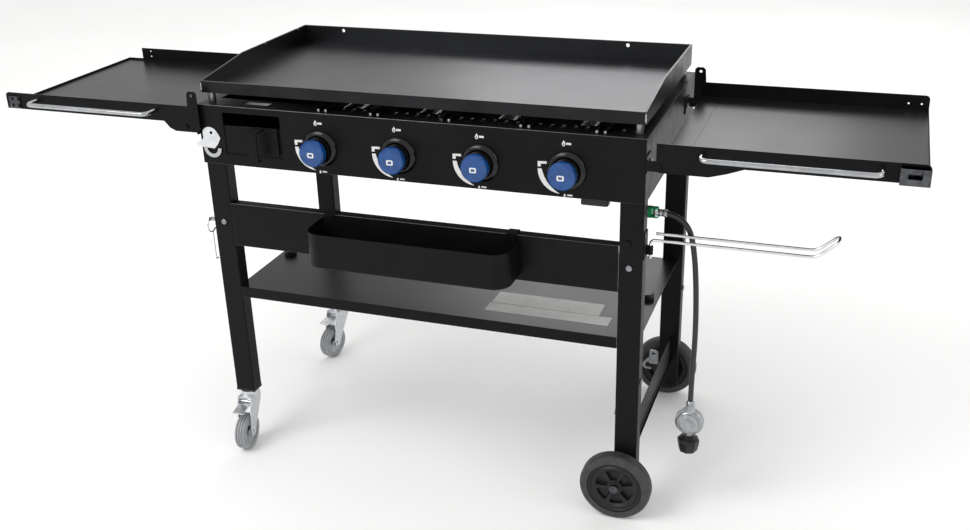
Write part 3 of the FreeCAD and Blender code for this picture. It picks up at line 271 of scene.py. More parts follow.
# Tank nut: a tapered moulding with eight flats, open below
tankNut = {
    "top": 186.7, "height": 35.0, "flats": 8, "rounding": 1.2, "roundingAngle": 25.0,
    "profile": [(0, 16.5), (0, 17.8), (2, 19.5), (14, 21.8), (24, 23), (28, 22), (31, 16), (32, 13), (35, 13),
                (35, 0), (16, 0), (16, 16.5)],
}
# Crimp sleeve, pressed on the hose where it leaves the swivel
crimpSleeve = {
    "profile": [(0.4, 5.6), (0.4, 7), (1.4, 7.4), (5, 7.4), (6, 6.9), (8, 6.9), (9, 7.4), (15, 7.4),
                (16.5, 6.8), (16.5, 5.6)],
    "steps": 32,
}


def makeRegulator():
    centre = regulator["centre"]
    shell = turnedPiece("regulatorShell", regulator["shell"], centre, (0, 1, 0), castMetal,
                        regulator["shellSteps"])
    neck = turnedPiece("regulatorNeck", regulator["neck"], centre, (0, 0, 1), castMetal,
                       regulator["pipeSteps"])
    spout = turnedPiece("regulatorSpout", regulator["spout"], centre, (0, 0, 1), castMetal,
                        regulator["pipeSteps"])
    body = joined("regulatorBody", [shell, neck, spout])
    putOn(body, "gas_line", ["gas_regulator"])
    return body


def makeTankNut():
    x, y, z = regulator["centre"]
    low = tankNut["top"] - tankNut["height"]
    nut = turnedPiece("tankNutBody", tankNut["profile"], (x, y, low), (0, 0, 1), blackPlastic,
                      tankNut["flats"])
    bevelled(nut, tankNut["rounding"], tankNut["roundingAngle"])
    smoothed(nut)
    putOn(nut, "tank_nut", ["tank_nut"])
    return nut


def makeCrimpSleeve():
    sleeve = turnedPiece("crimpSleeve", crimpSleeve["profile"], gasHose["route"][0], (1, 0, 0), castMetal,
                         crimpSleeve["steps"])
    putOn(sleeve, "gas_line")
    return sleeve


def makeGasHose(farPieces):
    curve = bpy.data.curves.new("gasHose", "CURVE")
    curve.dimensions = "3D"
    curve.bevel_depth = gasHose["radius"] * millimetre
    curve.bevel_resolution = gasHose["roundness"]
    curve.resolution_u = gasHose["smoothness"]
    curve.use_fill_caps = True
    spline = curve.splines.new("NURBS")
    spline.points.add(len(gasHose["route"]) - 1)
    for point, spot in zip(spline.points, gasHose["route"]):
        point.co = (*place(*spot), 1.0)
    spline.order_u = 3
    spline.use_endpoint_u = True
    hose = bpy.data.objects.new("gasHose", curve)
    bpy.context.scene.collection.objects.link(hose)
    curve.materials.append(hoseRubber)
    putOn(hose, "gas_line", ["gas_hose"])
    return hose


makeGasHose([makeCrimpSleeve(), makeRegulator(), makeTankNut()])
print("camera, gas hose and regulator made")

# Polyester powder coat, satin black: deep black face on, soft sheen at a glance
frameCoat = finish("satinBlackPowderCoat", {"IOR": 1.5, "Specular IOR Level": 0.12},
                   ("#0b0b0c", "#0f0f10", 60.0), (25.0, 0.38, 0.46), (2.2, 0.08, 0.1))
# The same coat where it lies flat on the trays and the shelf: it flows out smoother and mirrors the room, and
# its lighter base colour on these upward faces is painted light from above
litTopCoat = finish("flatBlackCoatLitOnTop", {"IOR": 1.5, "Specular IOR Level": 0.23},
                  ("#131314", "#171718", 120.0), (120.0, 0.30, 0.34), (2.6, 0.05, 0.1))
# Bends of the coated sheet: a grey metallic finish that paints a highlight line along each bend, with some
# wear where the film pulls thin and hands polish it
bendHighlightCoat = finish("paintedHighlightOnBends", {"IOR": 1.5, "Metallic": 0.85},
                  ("#4c4d4f", "#5e5f62", 25.0), (18.0, 0.26, 0.36), (2.2, 0.05, 0.1))
# Cold rolled carbon steel, oiled and smooth: dark grey metal with a satin sheen
griddleSteel = finish("oiledRolledSteel", {"Metallic": 1.0},
                      ("#3f4042", "#454648", 160.0), (130.0, 0.33, 0.37), (1.8, 0.08, 0.1))
# The plate's walls, heat-tinted and oiled: darker
wallSteel = finish("heatTintedSteelWall", {"Metallic": 1.0},
                   ("#282829", "#2e2e30", 60.0), (40.0, 0.34, 0.42), (1.8, 0.1, 0.1))
# Pale bright steel on the corner weld beads, far lighter than the plate
weldSteel = finish("paleWeldBeadSteel", {"Metallic": 1.0},
                   ("#a6a39e", "#d6d3cd", 4.0), (3.0, 0.22, 0.4), (2.0, 0.5, 0.4))
# Bright zinc plate on steel
zincPlate = finish("brightZincPlate", {"Metallic": 1.0}, ("#c6c9cc", "#dadcdf", 7.0), (5.0, 0.24, 0.38))
# Hot-dip galvanised sheet behind the vent slots, kept pale as painted light showing through the slots
ventWebLight = finish("ventWebPaintedLight", {"Metallic": 0.4}, ("#a9acb0", "#bfc2c5", 12.0), (8.0, 0.4, 0.5))
# Stainless sheet, pressed and polished
stainless = finish("pressedStainlessSheet", {"Metallic": 1.0},
                   ("#c6c8cb", "#dcdee0", 15.0), (10.0, 0.18, 0.28))
# Dull passivated zinc on bolts, feet and the hook
boltZinc = finish("passivatedZincBolts", {"Metallic": 1.0}, ("#7c7e81", "#939598", 5.0), (4.0, 0.26, 0.38))
# Black nickel on pressed clips and axle ends
blackNickel = finish("blackNickelPlate", {"Metallic": 1.0}, ("#4a4b4e", "#5e6064", 12.0), (8.0, 0.14, 0.24))
# Chrome on the thick bars, over a duller ground
barChrome = finish("chromedTube", {"Metallic": 1.0}, ("#a3a5a8", "#b3b5b8", 20.0), (12.0, 0.08, 0.14))
# Chrome plate on drawn wire
chrome = finish("chromePlate", {"Metallic": 1.0}, ("#d2d4d7", "#e2e4e6", 20.0), (12.0, 0.06, 0.14))
# Turned brass fittings
brass = finish("turnedBrass", {"Metallic": 1.0}, ("#b08c46", "#d0ab5e", 6.0), (4.0, 0.20, 0.34))
# Green anodised ring on the gas fitting
greenAnodised = finish("greenAnodisedAluminium", {"Metallic": 0.5},
                       ("#229a5c", "#2cab6a", 5.0), (4.0, 0.24, 0.34))
# Glossy black styrene plastic, moulded: ring bezels and knob skirts
bezelPlastic = finish("glossBlackAbs", {"IOR": 1.53, "Specular IOR Level": 0.32},
                      ("#0a0a0b", "#0e0e10", 20.0), (14.0, 0.10, 0.16))
# Blue styrene plastic knob faces, moulded satin
bluePlastic = finish("satinBlueAbs", {"IOR": 1.53}, ("#003872", "#044484", 14.0), (8.0, 0.22, 0.32))
# Grey thermoplastic rubber caster treads: pale and matt
greyTread = finish("greyCasterTread", {"IOR": 1.5}, ("#8b8d90", "#9a9c9f", 10.0), (6.0, 0.45, 0.6))
# Black moulded rubber tyres, with a grey bloom
tyreRubber = finish("mouldedTyreRubber", {"IOR": 1.5},
                    ("#2a2a2c", "#363638", 14.0), (8.0, 0.42, 0.56), (1.6, 0.2, 0.12))
# Grey moulded nylon
greyNylon = finish("greyMouldedNylon", {"IOR": 1.53},
                   ("#4d4f52", "#5d5f62", 9.0), (6.0, 0.38, 0.5), (1.2, 0.15, 0.08))
# Screen-printed enamel marks
printedWhite = finish("whitePrintedEnamel", {"IOR": 1.5}, ("#cfcfcd", "#dededc", 5.0), (4.0, 0.35, 0.45))
# Matt vinyl film, left blank
paleFilm = finish("blankVinylFilm", {"IOR": 1.46}, ("#c6c6c3", "#d0d0cd", 30.0), (20.0, 0.4, 0.5))
print("materials made")

slotMaterials = {
    "black_powder_coat": frameCoat, "griddle_steel": griddleSteel, "zinc_plate": zincPlate,
    "stainless": stainless, "chrome": chrome, "brass": brass, "cast_metal": castMetal,
    "black_gloss": bezelPlastic, "blue_knob": bluePlastic, "black_plastic": blackPlastic,
    "grey_tread": greyTread, "tyre": tyreRubber, "hose_rubber": hoseRubber, "grey_plastic": greyNylon,
}
# Nodes whose finish differs from their slot's
ownFinish = {
    "drawer_runners": frameCoat, "griddle_feet": boltZinc, "frame_fasteners": boltZinc,
    "wheel_axles": blackNickel, "shelf_clip_left": blackNickel, "shelf_clip_right": blackNickel,
    "towel_bar_left": barChrome, "towel_bar_right": barChrome,
}
for name, slot in slotOf.items():
    mesh = nodes[name].data
    mesh.materials.clear()
    mesh.materials.append(ownFinish.get(name, slotMaterials[slot]))

# How the CAD meshes are cleaned and rounded: angles in degrees
meshWork = {"bendAngle": 30.0, "merge": 0.00001, "flat": 0.5, "bendSegments": 3, "edgeAngle": 35.0,
            "flatWeight": 100}


def isBend(edge, reach):  # an edge between two faces that are both wider than the sheet is thick
    if len(edge.link_faces) != 2 or edge.calc_face_angle(0.0) < math.radians(meshWork["bendAngle"]):
        return False
    start = edge.verts[0].co
    along = (edge.verts[1].co - start).normalized()
    for face in edge.link_faces:
        spans = [vertex.co - start for vertex in face.verts]
        if max((span - along * span.dot(along)).length for span in spans) < reach:
            return False
    return True


def copiedNode(name):  # its own mesh, merged, with the loose triangles turned to whole faces
    piece = bpy.data.objects.new(name + "Finished", nodes[name].data.copy())
    bpy.context.scene.collection.objects.link(piece)
    choose(piece)
    bpy.ops.object.mode_set(mode="EDIT")
    bpy.ops.mesh.select_all(action="SELECT")
    bpy.ops.mesh.remove_doubles(threshold=meshWork["merge"])
    bpy.ops.mesh.dissolve_limited(angle_limit=math.radians(meshWork["flat"]))
    bpy.ops.object.mode_set(mode="OBJECT")
    return piece


def finishedNode(piece, name):  # wide flat faces keep their own normal beside a rounded edge
    smoothed(piece)
    applied(piece, "WEIGHTED_NORMAL", {"keep_sharp": True, "weight": meshWork["flatWeight"]})
    putOn(piece, bodyOf[name], [name])
    return piece


def foldedSheet(name, radius, reach=4.0, bends=None):  # rounds the bends of pressed sheet, not its cut edges
    piece = copiedNode(name)
    if bends:
        piece.data.materials.append(bends)
    bpy.ops.object.mode_set(mode="EDIT")
    bpy.ops.mesh.select_mode(type="EDGE")
    bpy.ops.mesh.select_all(action="DESELECT")
    work = bmesh.from_edit_mesh(piece.data)
    for edge in work.edges:
        if isBend(edge, reach * millimetre):
            edge.select_set(True)
    bmesh.update_edit_mesh(piece.data)
    bpy.ops.mesh.bevel(offset=radius * millimetre, segments=meshWork["bendSegments"], affect="EDGES",
                       clamp_overlap=True, material=len(piece.data.materials) - 1)
    bpy.ops.object.mode_set(mode="OBJECT")
    return finishedNode(piece, name)


def roundedNode(name, width, segments=2):  # rounds every sharp edge of a moulding or a casting
    piece = copiedNode(name)
    bevelled(piece, width, meshWork["edgeAngle"], segments)
    return finishedNode(piece, name)


def secondFinish(piece, material, test):  # the test takes a face's middle in drawing mm and its normal
    piece.data.materials.append(material)
    index = len(piece.data.materials) - 1
    for face in piece.data.polygons:
        middle = (face.center - drawingShift) / millimetre
        if test(middle, face.normal):
            face.material_index = index


# Pressed sheet: radius of the bends, least width of a face beside a bend, finish on the bends
# The grey finish on these bends is a painted highlight line
pressedSheets = {
    "griddle_plate": (2.0, 3.0, None), "shelf_left": (2.2, 4.0, bendHighlightCoat),
    "shelf_right": (2.2, 4.0, bendHighlightCoat), "lower_shelf": (2.2, 4.0, bendHighlightCoat), "vent_rail": (1.5, 4.0, None),
    "front_rail": (2.0, 4.0, bendHighlightCoat), "wheel_rail": (2.0, 4.0, bendHighlightCoat),
    "control_panel": (2.0, 4.0, bendHighlightCoat),
}
for name in ("firebox_rear_panel", "firebox_side_left", "firebox_side_right", "leg_front_left",
             "leg_front_right", "leg_rear_left", "leg_rear_right", "shelf_hinge_brackets",
             "towel_holder_bracket"):
    pressedSheets[name] = (2.0, 4.0, None)
# Where a second finish begins: slopes of a face's normal, and places in drawing mm
secondFinishes = {"upright": 0.5, "plateMiddle": 233.0, "lying": 0.6, "facing": 0.7, "ventTop": 835.0,
                  "ventStart": -330.0, "ring": 466.0, "handScrews": (380.0, 425.0),
                  "paintedBolt": (400.0, -5.0, 595.0), "knobFace": -41.0}


def isPlateOutside(at, normal):
    return (abs(normal.z) < secondFinishes["upright"]
            and normal.x * at.x + normal.y * (at.y - secondFinishes["plateMiddle"]) > 0)


def isTop(at, normal):
    return normal.z > secondFinishes["lying"]


def isVentWeb(at, normal):
    return (abs(normal.y) > secondFinishes["facing"] and at.z < secondFinishes["ventTop"]
            and at.x > secondFinishes["ventStart"])


def isHandScrew(at, normal):  # two of them, on the lower shelf
    low, high = secondFinishes["handScrews"]
    return low < at.z < high


def isPaintedBolt(at, normal):  # the upper bolt on the right front leg
    right, front, height = secondFinishes["paintedBolt"]
    return at.x > right and at.y < front and at.z > height


sheets = {name: foldedSheet(name, *settings) for name, settings in pressedSheets.items()}
secondFinish(sheets["griddle_plate"], wallSteel, isPlateOutside)
# Upward faces of the trays and the shelf take the lighter coat: painted light from above
for name in ("shelf_left", "shelf_right", "lower_shelf"):
    secondFinish(sheets[name], litTopCoat, isTop)
# The vent web's pale finish stands in for light showing through the slots
secondFinish(sheets["vent_rail"], ventWebLight, isVentWeb)
print("sheet pieces bent")

# Mouldings and castings: width of the rounding on their edges
roundings = {"caster_fork_front": 1.0, "caster_fork_rear": 1.0, "caster_brake_front": 0.8,
             "caster_brake_rear": 0.8, "caster_sockets": 0.8, "igniter_box": 1.5, "griddle_feet": 0.6,
             "shelf_clip_left": 0.8, "shelf_clip_right": 0.8, "gas_inlet": 0.5, "frame_fasteners": 0.6}
mouldings = {name: roundedNode(name, width) for name, width in roundings.items()}
secondFinish(mouldings["gas_inlet"], greenAnodised, lambda at, normal: at.x > secondFinishes["ring"])
secondFinish(mouldings["frame_fasteners"], blackPlastic, isHandScrew)
secondFinish(mouldings["frame_fasteners"], frameCoat, isPaintedBolt)

# Four dials: a domed ring bezel that shows a soft arc, and a knob, blue in front and black behind
dials = {
    "places": (-195.0, -22.0, 151.0, 324.0), "panel": -14.0, "height": 758.0, "steps": 56,
    "ring": [(0, 39), (-1.5, 38.9), (-3.5, 38.2), (-5.4, 36.8), (-7, 34.8), (-8.3, 32.4), (-9, 30),
             (-8.6, 29), (0, 28.6)],
    "knobRounding": 1.8, "knobSegments": 3,
}
rings = [turnedPiece("bezel%d" % number, dials["ring"], (x, dials["panel"], dials["height"]), (0, 1, 0),
                     bezelPlastic, dials["steps"])
         for number, x in enumerate(dials["places"], 1)]
putOn(joined("knobBezels", rings), "station", ["knob_bezels"])
for number in range(1, len(dials["places"]) + 1):
    knob = roundedNode("knob_%d" % number, dials["knobRounding"], dials["knobSegments"])
    knob.data.materials[0] = bezelPlastic
    secondFinish(knob, bluePlastic, lambda at, normal: at.y < secondFinishes["knobFace"])
print("mouldings rounded")

# Cart wheels: a grooved tyre on a moulded centre with a boss, a rim ring and six pockets between its spokes
cartWheels = {"x": 436.0, "height": 82.0, "places": {"front": -28.0, "rear": 509.0}}
tyre = {
    "radius": 75.0, "half": 16.0, "inner": 58.0, "shoulder": 5.0, "grooves": (-8.0, -2.7, 2.7, 8.0),
    "groove": 1.4, "steps": 72,
}


def treadProfile(shape):
    half, radius, inner, shoulder = (shape[key] for key in ("half", "radius", "inner", "shoulder"))
    outer = [(half - shoulder, radius - 0.15 * shoulder), (half - 0.35 * shoulder, radius - 0.6 * shoulder),
             (half, radius - 1.6 * shoulder), (half, inner)]
    out = [(-along, across) for along, across in reversed(outer)]
    for groove in shape["grooves"]:
        out += [(groove - 1.1, radius), (groove - 0.6, radius - shape["groove"]),
                (groove + 0.6, radius - shape["groove"]), (groove + 1.1, radius)]
    return out + outer


for end, y in cartWheels["places"].items():
    rubber = turnedPiece("tyre" + end.capitalize(), treadProfile(tyre),
                         (cartWheels["x"], y, cartWheels["height"]), (0, 1, 0), tyreRubber, tyre["steps"])
    putOn(rubber, end + "_wheel", ["wheel_tyre_" + end])

wheelCentre = {
    "steps": 72, "pockets": 6, "pocket": (16.0, 40.0), "depth": 9.0, "spokeSteps": 3, "facing": 0.9,
    "rounding": 0.7, "roundingAngle": 50.0,
    "face": [(-15.5, 5.2), (-15.5, 11), (-14.5, 12.5), (-11, 13.5), (-11, 16.5), (-11, 39.5), (-12, 42),
             (-14.6, 44), (-14.6, 48.5), (-12.6, 50.5), (-12.6, 53), (-14.2, 55), (-14.2, 57.6)],
}


def makeWheelCentre(end, y):
    face = wheelCentre["face"]
    profile = face + [(-along, radius) for along, radius in reversed(face)]
    centre = place(cartWheels["x"], y, cartWheels["height"])
    hub = turnedPiece("wheelCentre" + end.capitalize(), profile, (cartWheels["x"], y, cartWheels["height"]),
                      (0, 1, 0), blackPlastic, wheelCentre["steps"])
    step = math.tau / wheelCentre["steps"]
    perPocket = wheelCentre["steps"] // wheelCentre["pockets"]
    inner, outer = wheelCentre["pocket"]
    for side in (-1, 1):
        choose(hub)
        bpy.ops.object.mode_set(mode="EDIT")
        bpy.ops.mesh.select_mode(type="FACE")
        bpy.ops.mesh.select_all(action="DESELECT")
        work = bmesh.from_edit_mesh(hub.data)
        for part in work.faces:
            offset = part.calc_center_median() - centre
            radius = math.hypot(offset.x, offset.z) / millimetre
            turnStep = int((math.atan2(offset.z, offset.x) % math.tau) / step + 0.01)
            if part.normal.y * side > wheelCentre["facing"] and inner < radius < outer \
                    and turnStep % perPocket >= wheelCentre["spokeSteps"]:
                part.select_set(True)
        bmesh.update_edit_mesh(hub.data)
        bpy.ops.mesh.extrude_region_move(
            TRANSFORM_OT_translate={"value": (0, -side * wheelCentre["depth"] * millimetre, 0)})
        bpy.ops.mesh.select_all(action="DESELECT")
        bpy.ops.object.mode_set(mode="OBJECT")
    bevelled(hub, wheelCentre["rounding"], wheelCentre["roundingAngle"])
    smoothed(hub)
    putOn(hub, end + "_wheel", ["wheel_hub_" + end])


for end, y in cartWheels["places"].items():
    makeWheelCentre(end, y)

# Caster wheels: a grooved grey tread on a die-cast centre, each swivelled a little, turns in degrees
caster = {
    "half": 13.0, "radius": 42.0, "inner": 27.0, "shoulder": 4.0, "grooves": (-6.0, 0.0, 6.0), "groove": 2.2,
    "height": 49.0, "turns": {"front": 4.0, "rear": -12.0}, "steps": 56, "hubSteps": 40,
    "hub": [(11.5, 27), (9.8, 24), (9.8, 11), (12.5, 9), (12.5, 4.2)],
}
for end, turnDegrees in caster["turns"].items():
    low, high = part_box("caster_wheel_" + end)
    centre = ((Vector(low) + Vector(high)) / 2 - drawingShift) / millimetre
    centre = (centre.x, centre.y, caster["height"])
    axis = (math.cos(math.radians(turnDegrees)), math.sin(math.radians(turnDegrees)), 0)
    tread = turnedPiece("casterTread" + end.capitalize(), treadProfile(caster), centre, axis, greyTread,
                        caster["steps"])
    hubProfile = [(-along, radius) for along, radius in caster["hub"]] + caster["hub"][::-1]
    hub = turnedPiece("casterHub" + end.capitalize(), hubProfile, centre, axis, castMetal, caster["hubSteps"])
    putOn(tread, end + "_caster_wheel", ["caster_wheel_" + end])
    putOn(hub, end + "_caster_wheel")
print("tyres and caster wheels turned")


# Flat printed marks, films and stampings, cut from outlines in mm
def flatShape(name, outlines, centre, material, lying, thickness):
    curve = bpy.data.curves.new(name, "CURVE")
    curve.dimensions = "2D"
    curve.fill_mode = "BOTH"
    curve.extrude = thickness / 2 * millimetre
    for outline in outlines:
        spline = curve.splines.new("POLY")
        spline.points.add(len(outline) - 1)
        for point, (u, v) in zip(spline.points, outline):
            point.co = (u * millimetre, v * millimetre, 0, 1)
        spline.use_cyclic_u = True
    piece = bpy.data.objects.new(name, curve)
    bpy.context.scene.collection.objects.link(piece)
    piece.location = place(*centre)
    if not lying:
        piece.rotation_euler = (math.radians(90), 0, 0)
    piece = meshFrom(piece, material)
    bpy.ops.object.transform_apply(location=True, rotation=True, scale=True)
    return piece


def roundedOutline(left, low, right, high, corner, steps=4):
    out = []
    for u, v, start in ((right - corner, low + corner, -90), (right - corner, high - corner, 0),
                        (left + corner, high - corner, 90), (left + corner, low + corner, 180)):
        for i in range(steps + 1):
            angle = math.radians(start + 90 * i / steps)
            out.append((u + corner * math.cos(angle), v + corner * math.sin(angle)))
    return out


def circleOutline(radius, start=0.0, end=360.0, steps=20):
    count = steps + (0 if end - start >= 360 else 1)
    return [(radius * math.cos(math.radians(start + (end - start) * i / steps)),
             radius * math.sin(math.radians(start + (end - start) * i / steps))) for i in range(count)]


def moved(outline, du, dv, scale=1.0):
    return [(u * scale + du, v * scale + dv) for u, v in outline]


# Dial marks, round each knob's middle: a crescent with an arrow, and a flame and a bar above and below
dialMarks = {
    "sweep": (180.0, 253.5), "steps": 18, "outer": (57.0, 7.7), "inner": (49.0, 12.0),
    "arrow": [(-57, 14.3), (-39.4, 15.2), (-39.5, 10.2), (-50.5, 9.9), (-51, 4.2), (-57, 3.7)],
    "flame": [(0, 6.4), (1.6, 4.2), (3.2, 1.6), (3.5, -1.6), (2.2, -4.4), (0, -5.6), (-2.2, -4.4),
              (-3.5, -1.6), (-3.0, 1.0), (-1.4, 3.2)],
    "flameHole": [(0, 1.4), (1.3, -1.2), (0.9, -3.2), (0, -3.8), (-0.9, -3.2), (-1.3, -1.2)],
    "above": (-6.2, 53.0), "below": (-3.9, -49.8, 0.6),
    "barAbove": (-1.2, 51.0, 8.6, 55.0, 0.8), "barBelow": (1.0, -50.5, 11.5, -47.4, 0.8),
    "film": 0.3,
    "cap": ((-8.0, -7.0, 6.0, 3.5, 2.5), (-5.0, -4.3, 3.0, 0.8, 1.2)), "capFace": -55.0, "capFilm": 0.2,
}


def crescent():
    outer, inner = [], []
    start, end = dialMarks["sweep"]
    wide, narrowing = dialMarks["outer"]
    close, bulge = dialMarks["inner"]
    for i in range(dialMarks["steps"] + 1):
        t = i / dialMarks["steps"]
        angle = math.radians(start + (end - start) * t)
        outerRadius = wide - narrowing * t * t
        innerRadius = close - bulge * t * (1 - t)
        outer.append((outerRadius * math.cos(angle), outerRadius * math.sin(angle)))
        inner.append((innerRadius * math.cos(angle), innerRadius * math.sin(angle)))
    return outer + inner[::-1]


dialOutlines = [crescent(), dialMarks["arrow"], moved(dialMarks["flame"], *dialMarks["above"]),
                moved(dialMarks["flameHole"], *dialMarks["above"]), roundedOutline(*dialMarks["barAbove"]),
                moved(dialMarks["flame"], *dialMarks["below"]), roundedOutline(*dialMarks["barBelow"])]
for number, x in enumerate(dials["places"], 1):
    marks = flatShape("dialMarks%d" % number, dialOutlines,
                      (x, dials["panel"] - dialMarks["film"] / 2, dials["height"]), printedWhite, False,
                      dialMarks["film"])
    putOn(marks, "station")
    cap = flatShape("knobMark%d" % number, [roundedOutline(*square) for square in dialMarks["cap"]],
                    (x, dialMarks["capFace"] - dialMarks["capFilm"] / 2, dials["height"]), printedWhite,
                    False, dialMarks["capFilm"])
    putOn(cap, "knob_%d" % number)

shelfFilms = {"wide": (116.0, 79.0, 387.0, 118.0), "narrow": (119.0, 120.0, 358.0, 175.0), "top": 393.0,
              "corner": 3.0, "thickness": 0.3}
for which in ("wide", "narrow"):
    film = flatShape("blankFilm" + which.capitalize(),
                     [roundedOutline(*shelfFilms[which], shelfFilms["corner"])],
                     (0, 0, shelfFilms["top"] + shelfFilms["thickness"] / 2), paleFilm, True,
                     shelfFilms["thickness"])
    putOn(film, "station")
print("printed marks and films laid")

# Opener stamped from stainless sheet: a round head, a wing and an open ring under it
opener = {
    "centre": (-448.0, -15.0, 772.5), "thickness": 2.0, "hole": 3.6,
    "head": [(-20.5, 0), (-19, 5.6), (-13.5, 9.8), (-7, 12), (0, 12.2), (7, 9.8), (12.4, 5), (17, -2),
             (21, -10.5), (13.5, -24), (4.5, -34), (-20, -33), (-38, -32.4), (-38, -23), (-27, -19),
             (-20.5, -13.5)],
    "ring": (21, 13), "ringMove": (0.5, -1.0, -32.5), "ringThickness": 3.4, "rounding": 0.5,
    "roundingAngle": 50.0,
}
head = flatShape("openerHead", [opener["head"], circleOutline(opener["hole"])], opener["centre"], stainless,
                 False, opener["thickness"])
outer, inner = opener["ring"]
ringCentre = [middle + step for middle, step in zip(opener["centre"], opener["ringMove"])]
ring = flatShape("openerRing", [circleOutline(outer, 180, 360) + circleOutline(inner, 360, 180)], ringCentre,
                 barChrome, False, opener["ringThickness"])
openerPiece = joined("openerStamped", [head, ring])
bevelled(openerPiece, opener["rounding"], opener["roundingAngle"])
smoothed(openerPiece)
putOn(openerPiece, "station", ["bottle_opener"])

# Hook on the right rear leg: a zinc plate with a curled arm
hook = {
    "plate": [(426.5, 113), (426.5, 146), (421, 149), (408, 149), (405, 146), (404, 113), (406, 111),
              (424, 111)],
    "arm": [(405, 128), (398, 122), (391, 114), (388.9, 107), (391, 101), (397, 97.5), (411, 97),
            (411, 102.5), (400, 102.8), (396.5, 104.5), (395.5, 108), (398, 113), (405, 119.5)],
    "hole": 4.0, "holeAt": (415, 139), "plane": 452.0, "sheet": 2.0, "armWidth": 5.0, "armForward": 1.6,
    "rounding": 0.6, "roundingAngle": 50.0,
}
hookPlate = flatShape("hookPlate", [hook["plate"], moved(circleOutline(hook["hole"]), *hook["holeAt"])],
                      (0, hook["plane"], 0), boltZinc, False, hook["sheet"])
hookArm = flatShape("hookArm", [hook["arm"]], (0, hook["plane"] - hook["armForward"], 0), boltZinc, False,
                    hook["armWidth"])
hookPiece = joined("tankHook", [hookPlate, hookArm])
bevelled(hookPiece, hook["rounding"], hook["roundingAngle"])
smoothed(hookPiece)
putOn(hookPiece, "station", ["tank_hook"])

# Weld beads on the plate's outer corners, in pale bright steel
weldBeads = {
    "corners": ((-469.4, 0.6, 877.0), (469.4, 0.6, 877.0), (-469.4, 465.4, 898.0), (469.4, 465.4, 898.0)),
    "low": 857.0, "inward": 0.6, "middle": 200.0, "steps": 12,
    "start": [(0, 0), (0.5, 1.3), (4, 1.9), (8, 1.6)], "end": [(-6, 1.8), (-1, 1.2), (0, 0)],
}
beads = []
inward = weldBeads["inward"]
for number, (x, y, high) in enumerate(weldBeads["corners"], 1):
    length = high - weldBeads["low"]
    profile = weldBeads["start"] + [(length + step, radius) for step, radius in weldBeads["end"]]
    centre = (x - math.copysign(inward, x), y + (inward if y < weldBeads["middle"] else -inward),
              weldBeads["low"])
    beads.append(turnedPiece("cornerBead%d" % number, profile, centre, (0, 0, 1), weldSteel,
                             weldBeads["steps"]))
putOn(joined("cornerWelds", beads), "griddle")
print("opener, hook and welds made")

# Hem folded back round the drawer's cut-out, which closes the gap under and beside the drawer
hem = {"margin": 14.0, "drop": 16.0, "rise": 52.0, "sill": 736.6, "clear": 0.3, "plane": -11.8, "sheet": 1.0}
low, high = drawnBox("drawer_runners")
left, right = low.x - hem["clear"], high.x + hem["clear"]
sill, top, foot = hem["sill"], hem["sill"] + hem["rise"], hem["sill"] - hem["drop"]
hemOutline = [(left, sill), (left, top), (left - hem["margin"], top), (left - hem["margin"], foot),
              (right + hem["margin"], foot), (right + hem["margin"], top), (right, top), (right, sill)]
cutoutHem = flatShape("cutoutHem", [hemOutline], (0, hem["plane"], 0), frameCoat, False, hem["sheet"])
joined("control_panelFinished", [sheets["control_panel"], cutoutHem])

# Towel holder: one chromed wire, bent with wide knees before its raised end
towelWire = {
    "radius": 3.0, "pin": 38.0, "tip": (38.0, 34.0), "rise": 5.0, "back": 6.0,
    "bends": (10.0, 34.0, 10.9, 10.9, 34.0), "steps": 8, "roundness": 4, "smoothAngle": 40.0,
}


def roundedPath(corners, bends, steps):
    path = [Vector(corners[0])]
    for before, corner, after, bend in zip(corners, corners[1:], corners[2:], bends):
        corner = Vector(corner)
        inward = (Vector(before) - corner).normalized()
        outward = (Vector(after) - corner).normalized()
        reach = bend / math.tan(inward.angle(outward) / 2)
        for i in range(steps + 1):
            t = i / steps
            path.append(corner + inward * reach * (1 - t) ** 2 + outward * reach * t ** 2)
    return path + [Vector(corners[-1])]


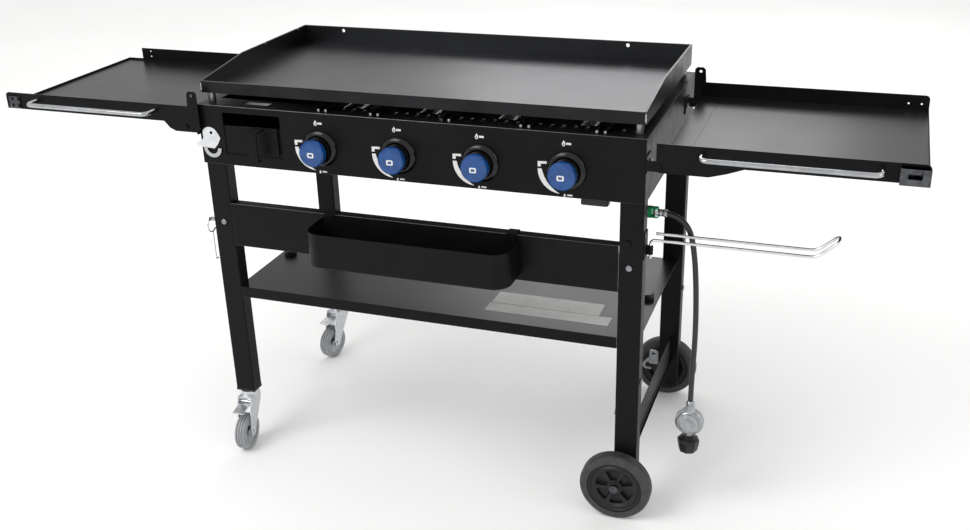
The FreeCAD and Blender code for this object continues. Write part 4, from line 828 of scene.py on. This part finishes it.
def makeTowelWire():
    low, high = drawnBox("towel_holder")
    radius, rise = towelWire["radius"], towelWire["rise"]
    x, y, z = low.x + radius, low.y + radius, low.z + towelWire["pin"]
    tipX, backY = high.x - radius, high.y - radius
    far, tipZ = tipX - towelWire["tip"][0], z + towelWire["tip"][1]
    corners = [(x, y, low.z), (x, y, z), (far, y, z), (tipX, y, tipZ), (tipX, backY, tipZ + rise),
               (far, backY, z + rise), (x + towelWire["back"], backY, z + rise)]
    path = roundedPath(corners, towelWire["bends"], towelWire["steps"])
    curve = bpy.data.curves.new("towelWire", "CURVE")
    curve.dimensions = "3D"
    curve.bevel_depth = radius * millimetre
    curve.bevel_resolution = towelWire["roundness"]
    curve.use_fill_caps = True
    spline = curve.splines.new("POLY")
    spline.points.add(len(path) - 1)
    for point, spot in zip(spline.points, path):
        point.co = (*place(*spot), 1.0)
    wire = bpy.data.objects.new("towelWire", curve)
    bpy.context.scene.collection.objects.link(wire)
    wire = meshFrom(wire, chrome)
    smoothed(wire, towelWire["smoothAngle"])
    putOn(wire, bodyOf["towel_holder"], ["towel_holder"])


makeTowelWire()
print("hem and towel wire made")

# Studio: a floor, the sky's light and three soft lights; sizes and places in metres
studio = {"floor": 40.0, "sky": 0.9}
# Matt white paint on the floor
floorPaint = finish("paleStudioFloor", None, ("#fafaf9", "#fdfdfc", 900.0), (500.0, 0.7, 0.8))
deselectAll()
bpy.ops.mesh.primitive_plane_add(size=studio["floor"], location=(0, 0, 0))
floor = bpy.context.active_object
floor.name = "studioFloor"
floor.data.materials.append(floorPaint)

world = bpy.data.worlds.new("studioSky")
bpy.context.scene.world = world
world.use_nodes = True
world.node_tree.nodes["Background"].inputs["Color"].default_value = linearColour("#ffffff")
world.node_tree.nodes["Background"].inputs["Strength"].default_value = studio["sky"]

softLights = {
    "key": {"at": (-1.6, -2.2, 3.2), "towards": (0, 0, 0.6), "size": (2.0, 2.0), "watts": 60},
    "back": {"at": (-0.5, 4.4, 2.95), "towards": (0, 0, 0.8), "size": (2.4, 1.4), "watts": 38},
    "side": {"at": (3.6, -0.6, 2.0), "towards": (0, 0, 0.7), "size": (1.6, 1.6), "watts": 10},
}
for name, light in softLights.items():
    data = bpy.data.lights.new(name, "AREA")
    data.shape = "RECTANGLE"
    data.size, data.size_y = light["size"]
    data.energy = light["watts"]
    lamp = bpy.data.objects.new(name, data)
    bpy.context.scene.collection.objects.link(lamp)
    lamp.location = light["at"]
    aim = Vector(light["towards"]) - Vector(light["at"])
    lamp.rotation_euler = aim.to_track_quat("-Z", "Y").to_euler()
bpy.context.scene.view_settings.view_transform = "Standard"
print("lights set")
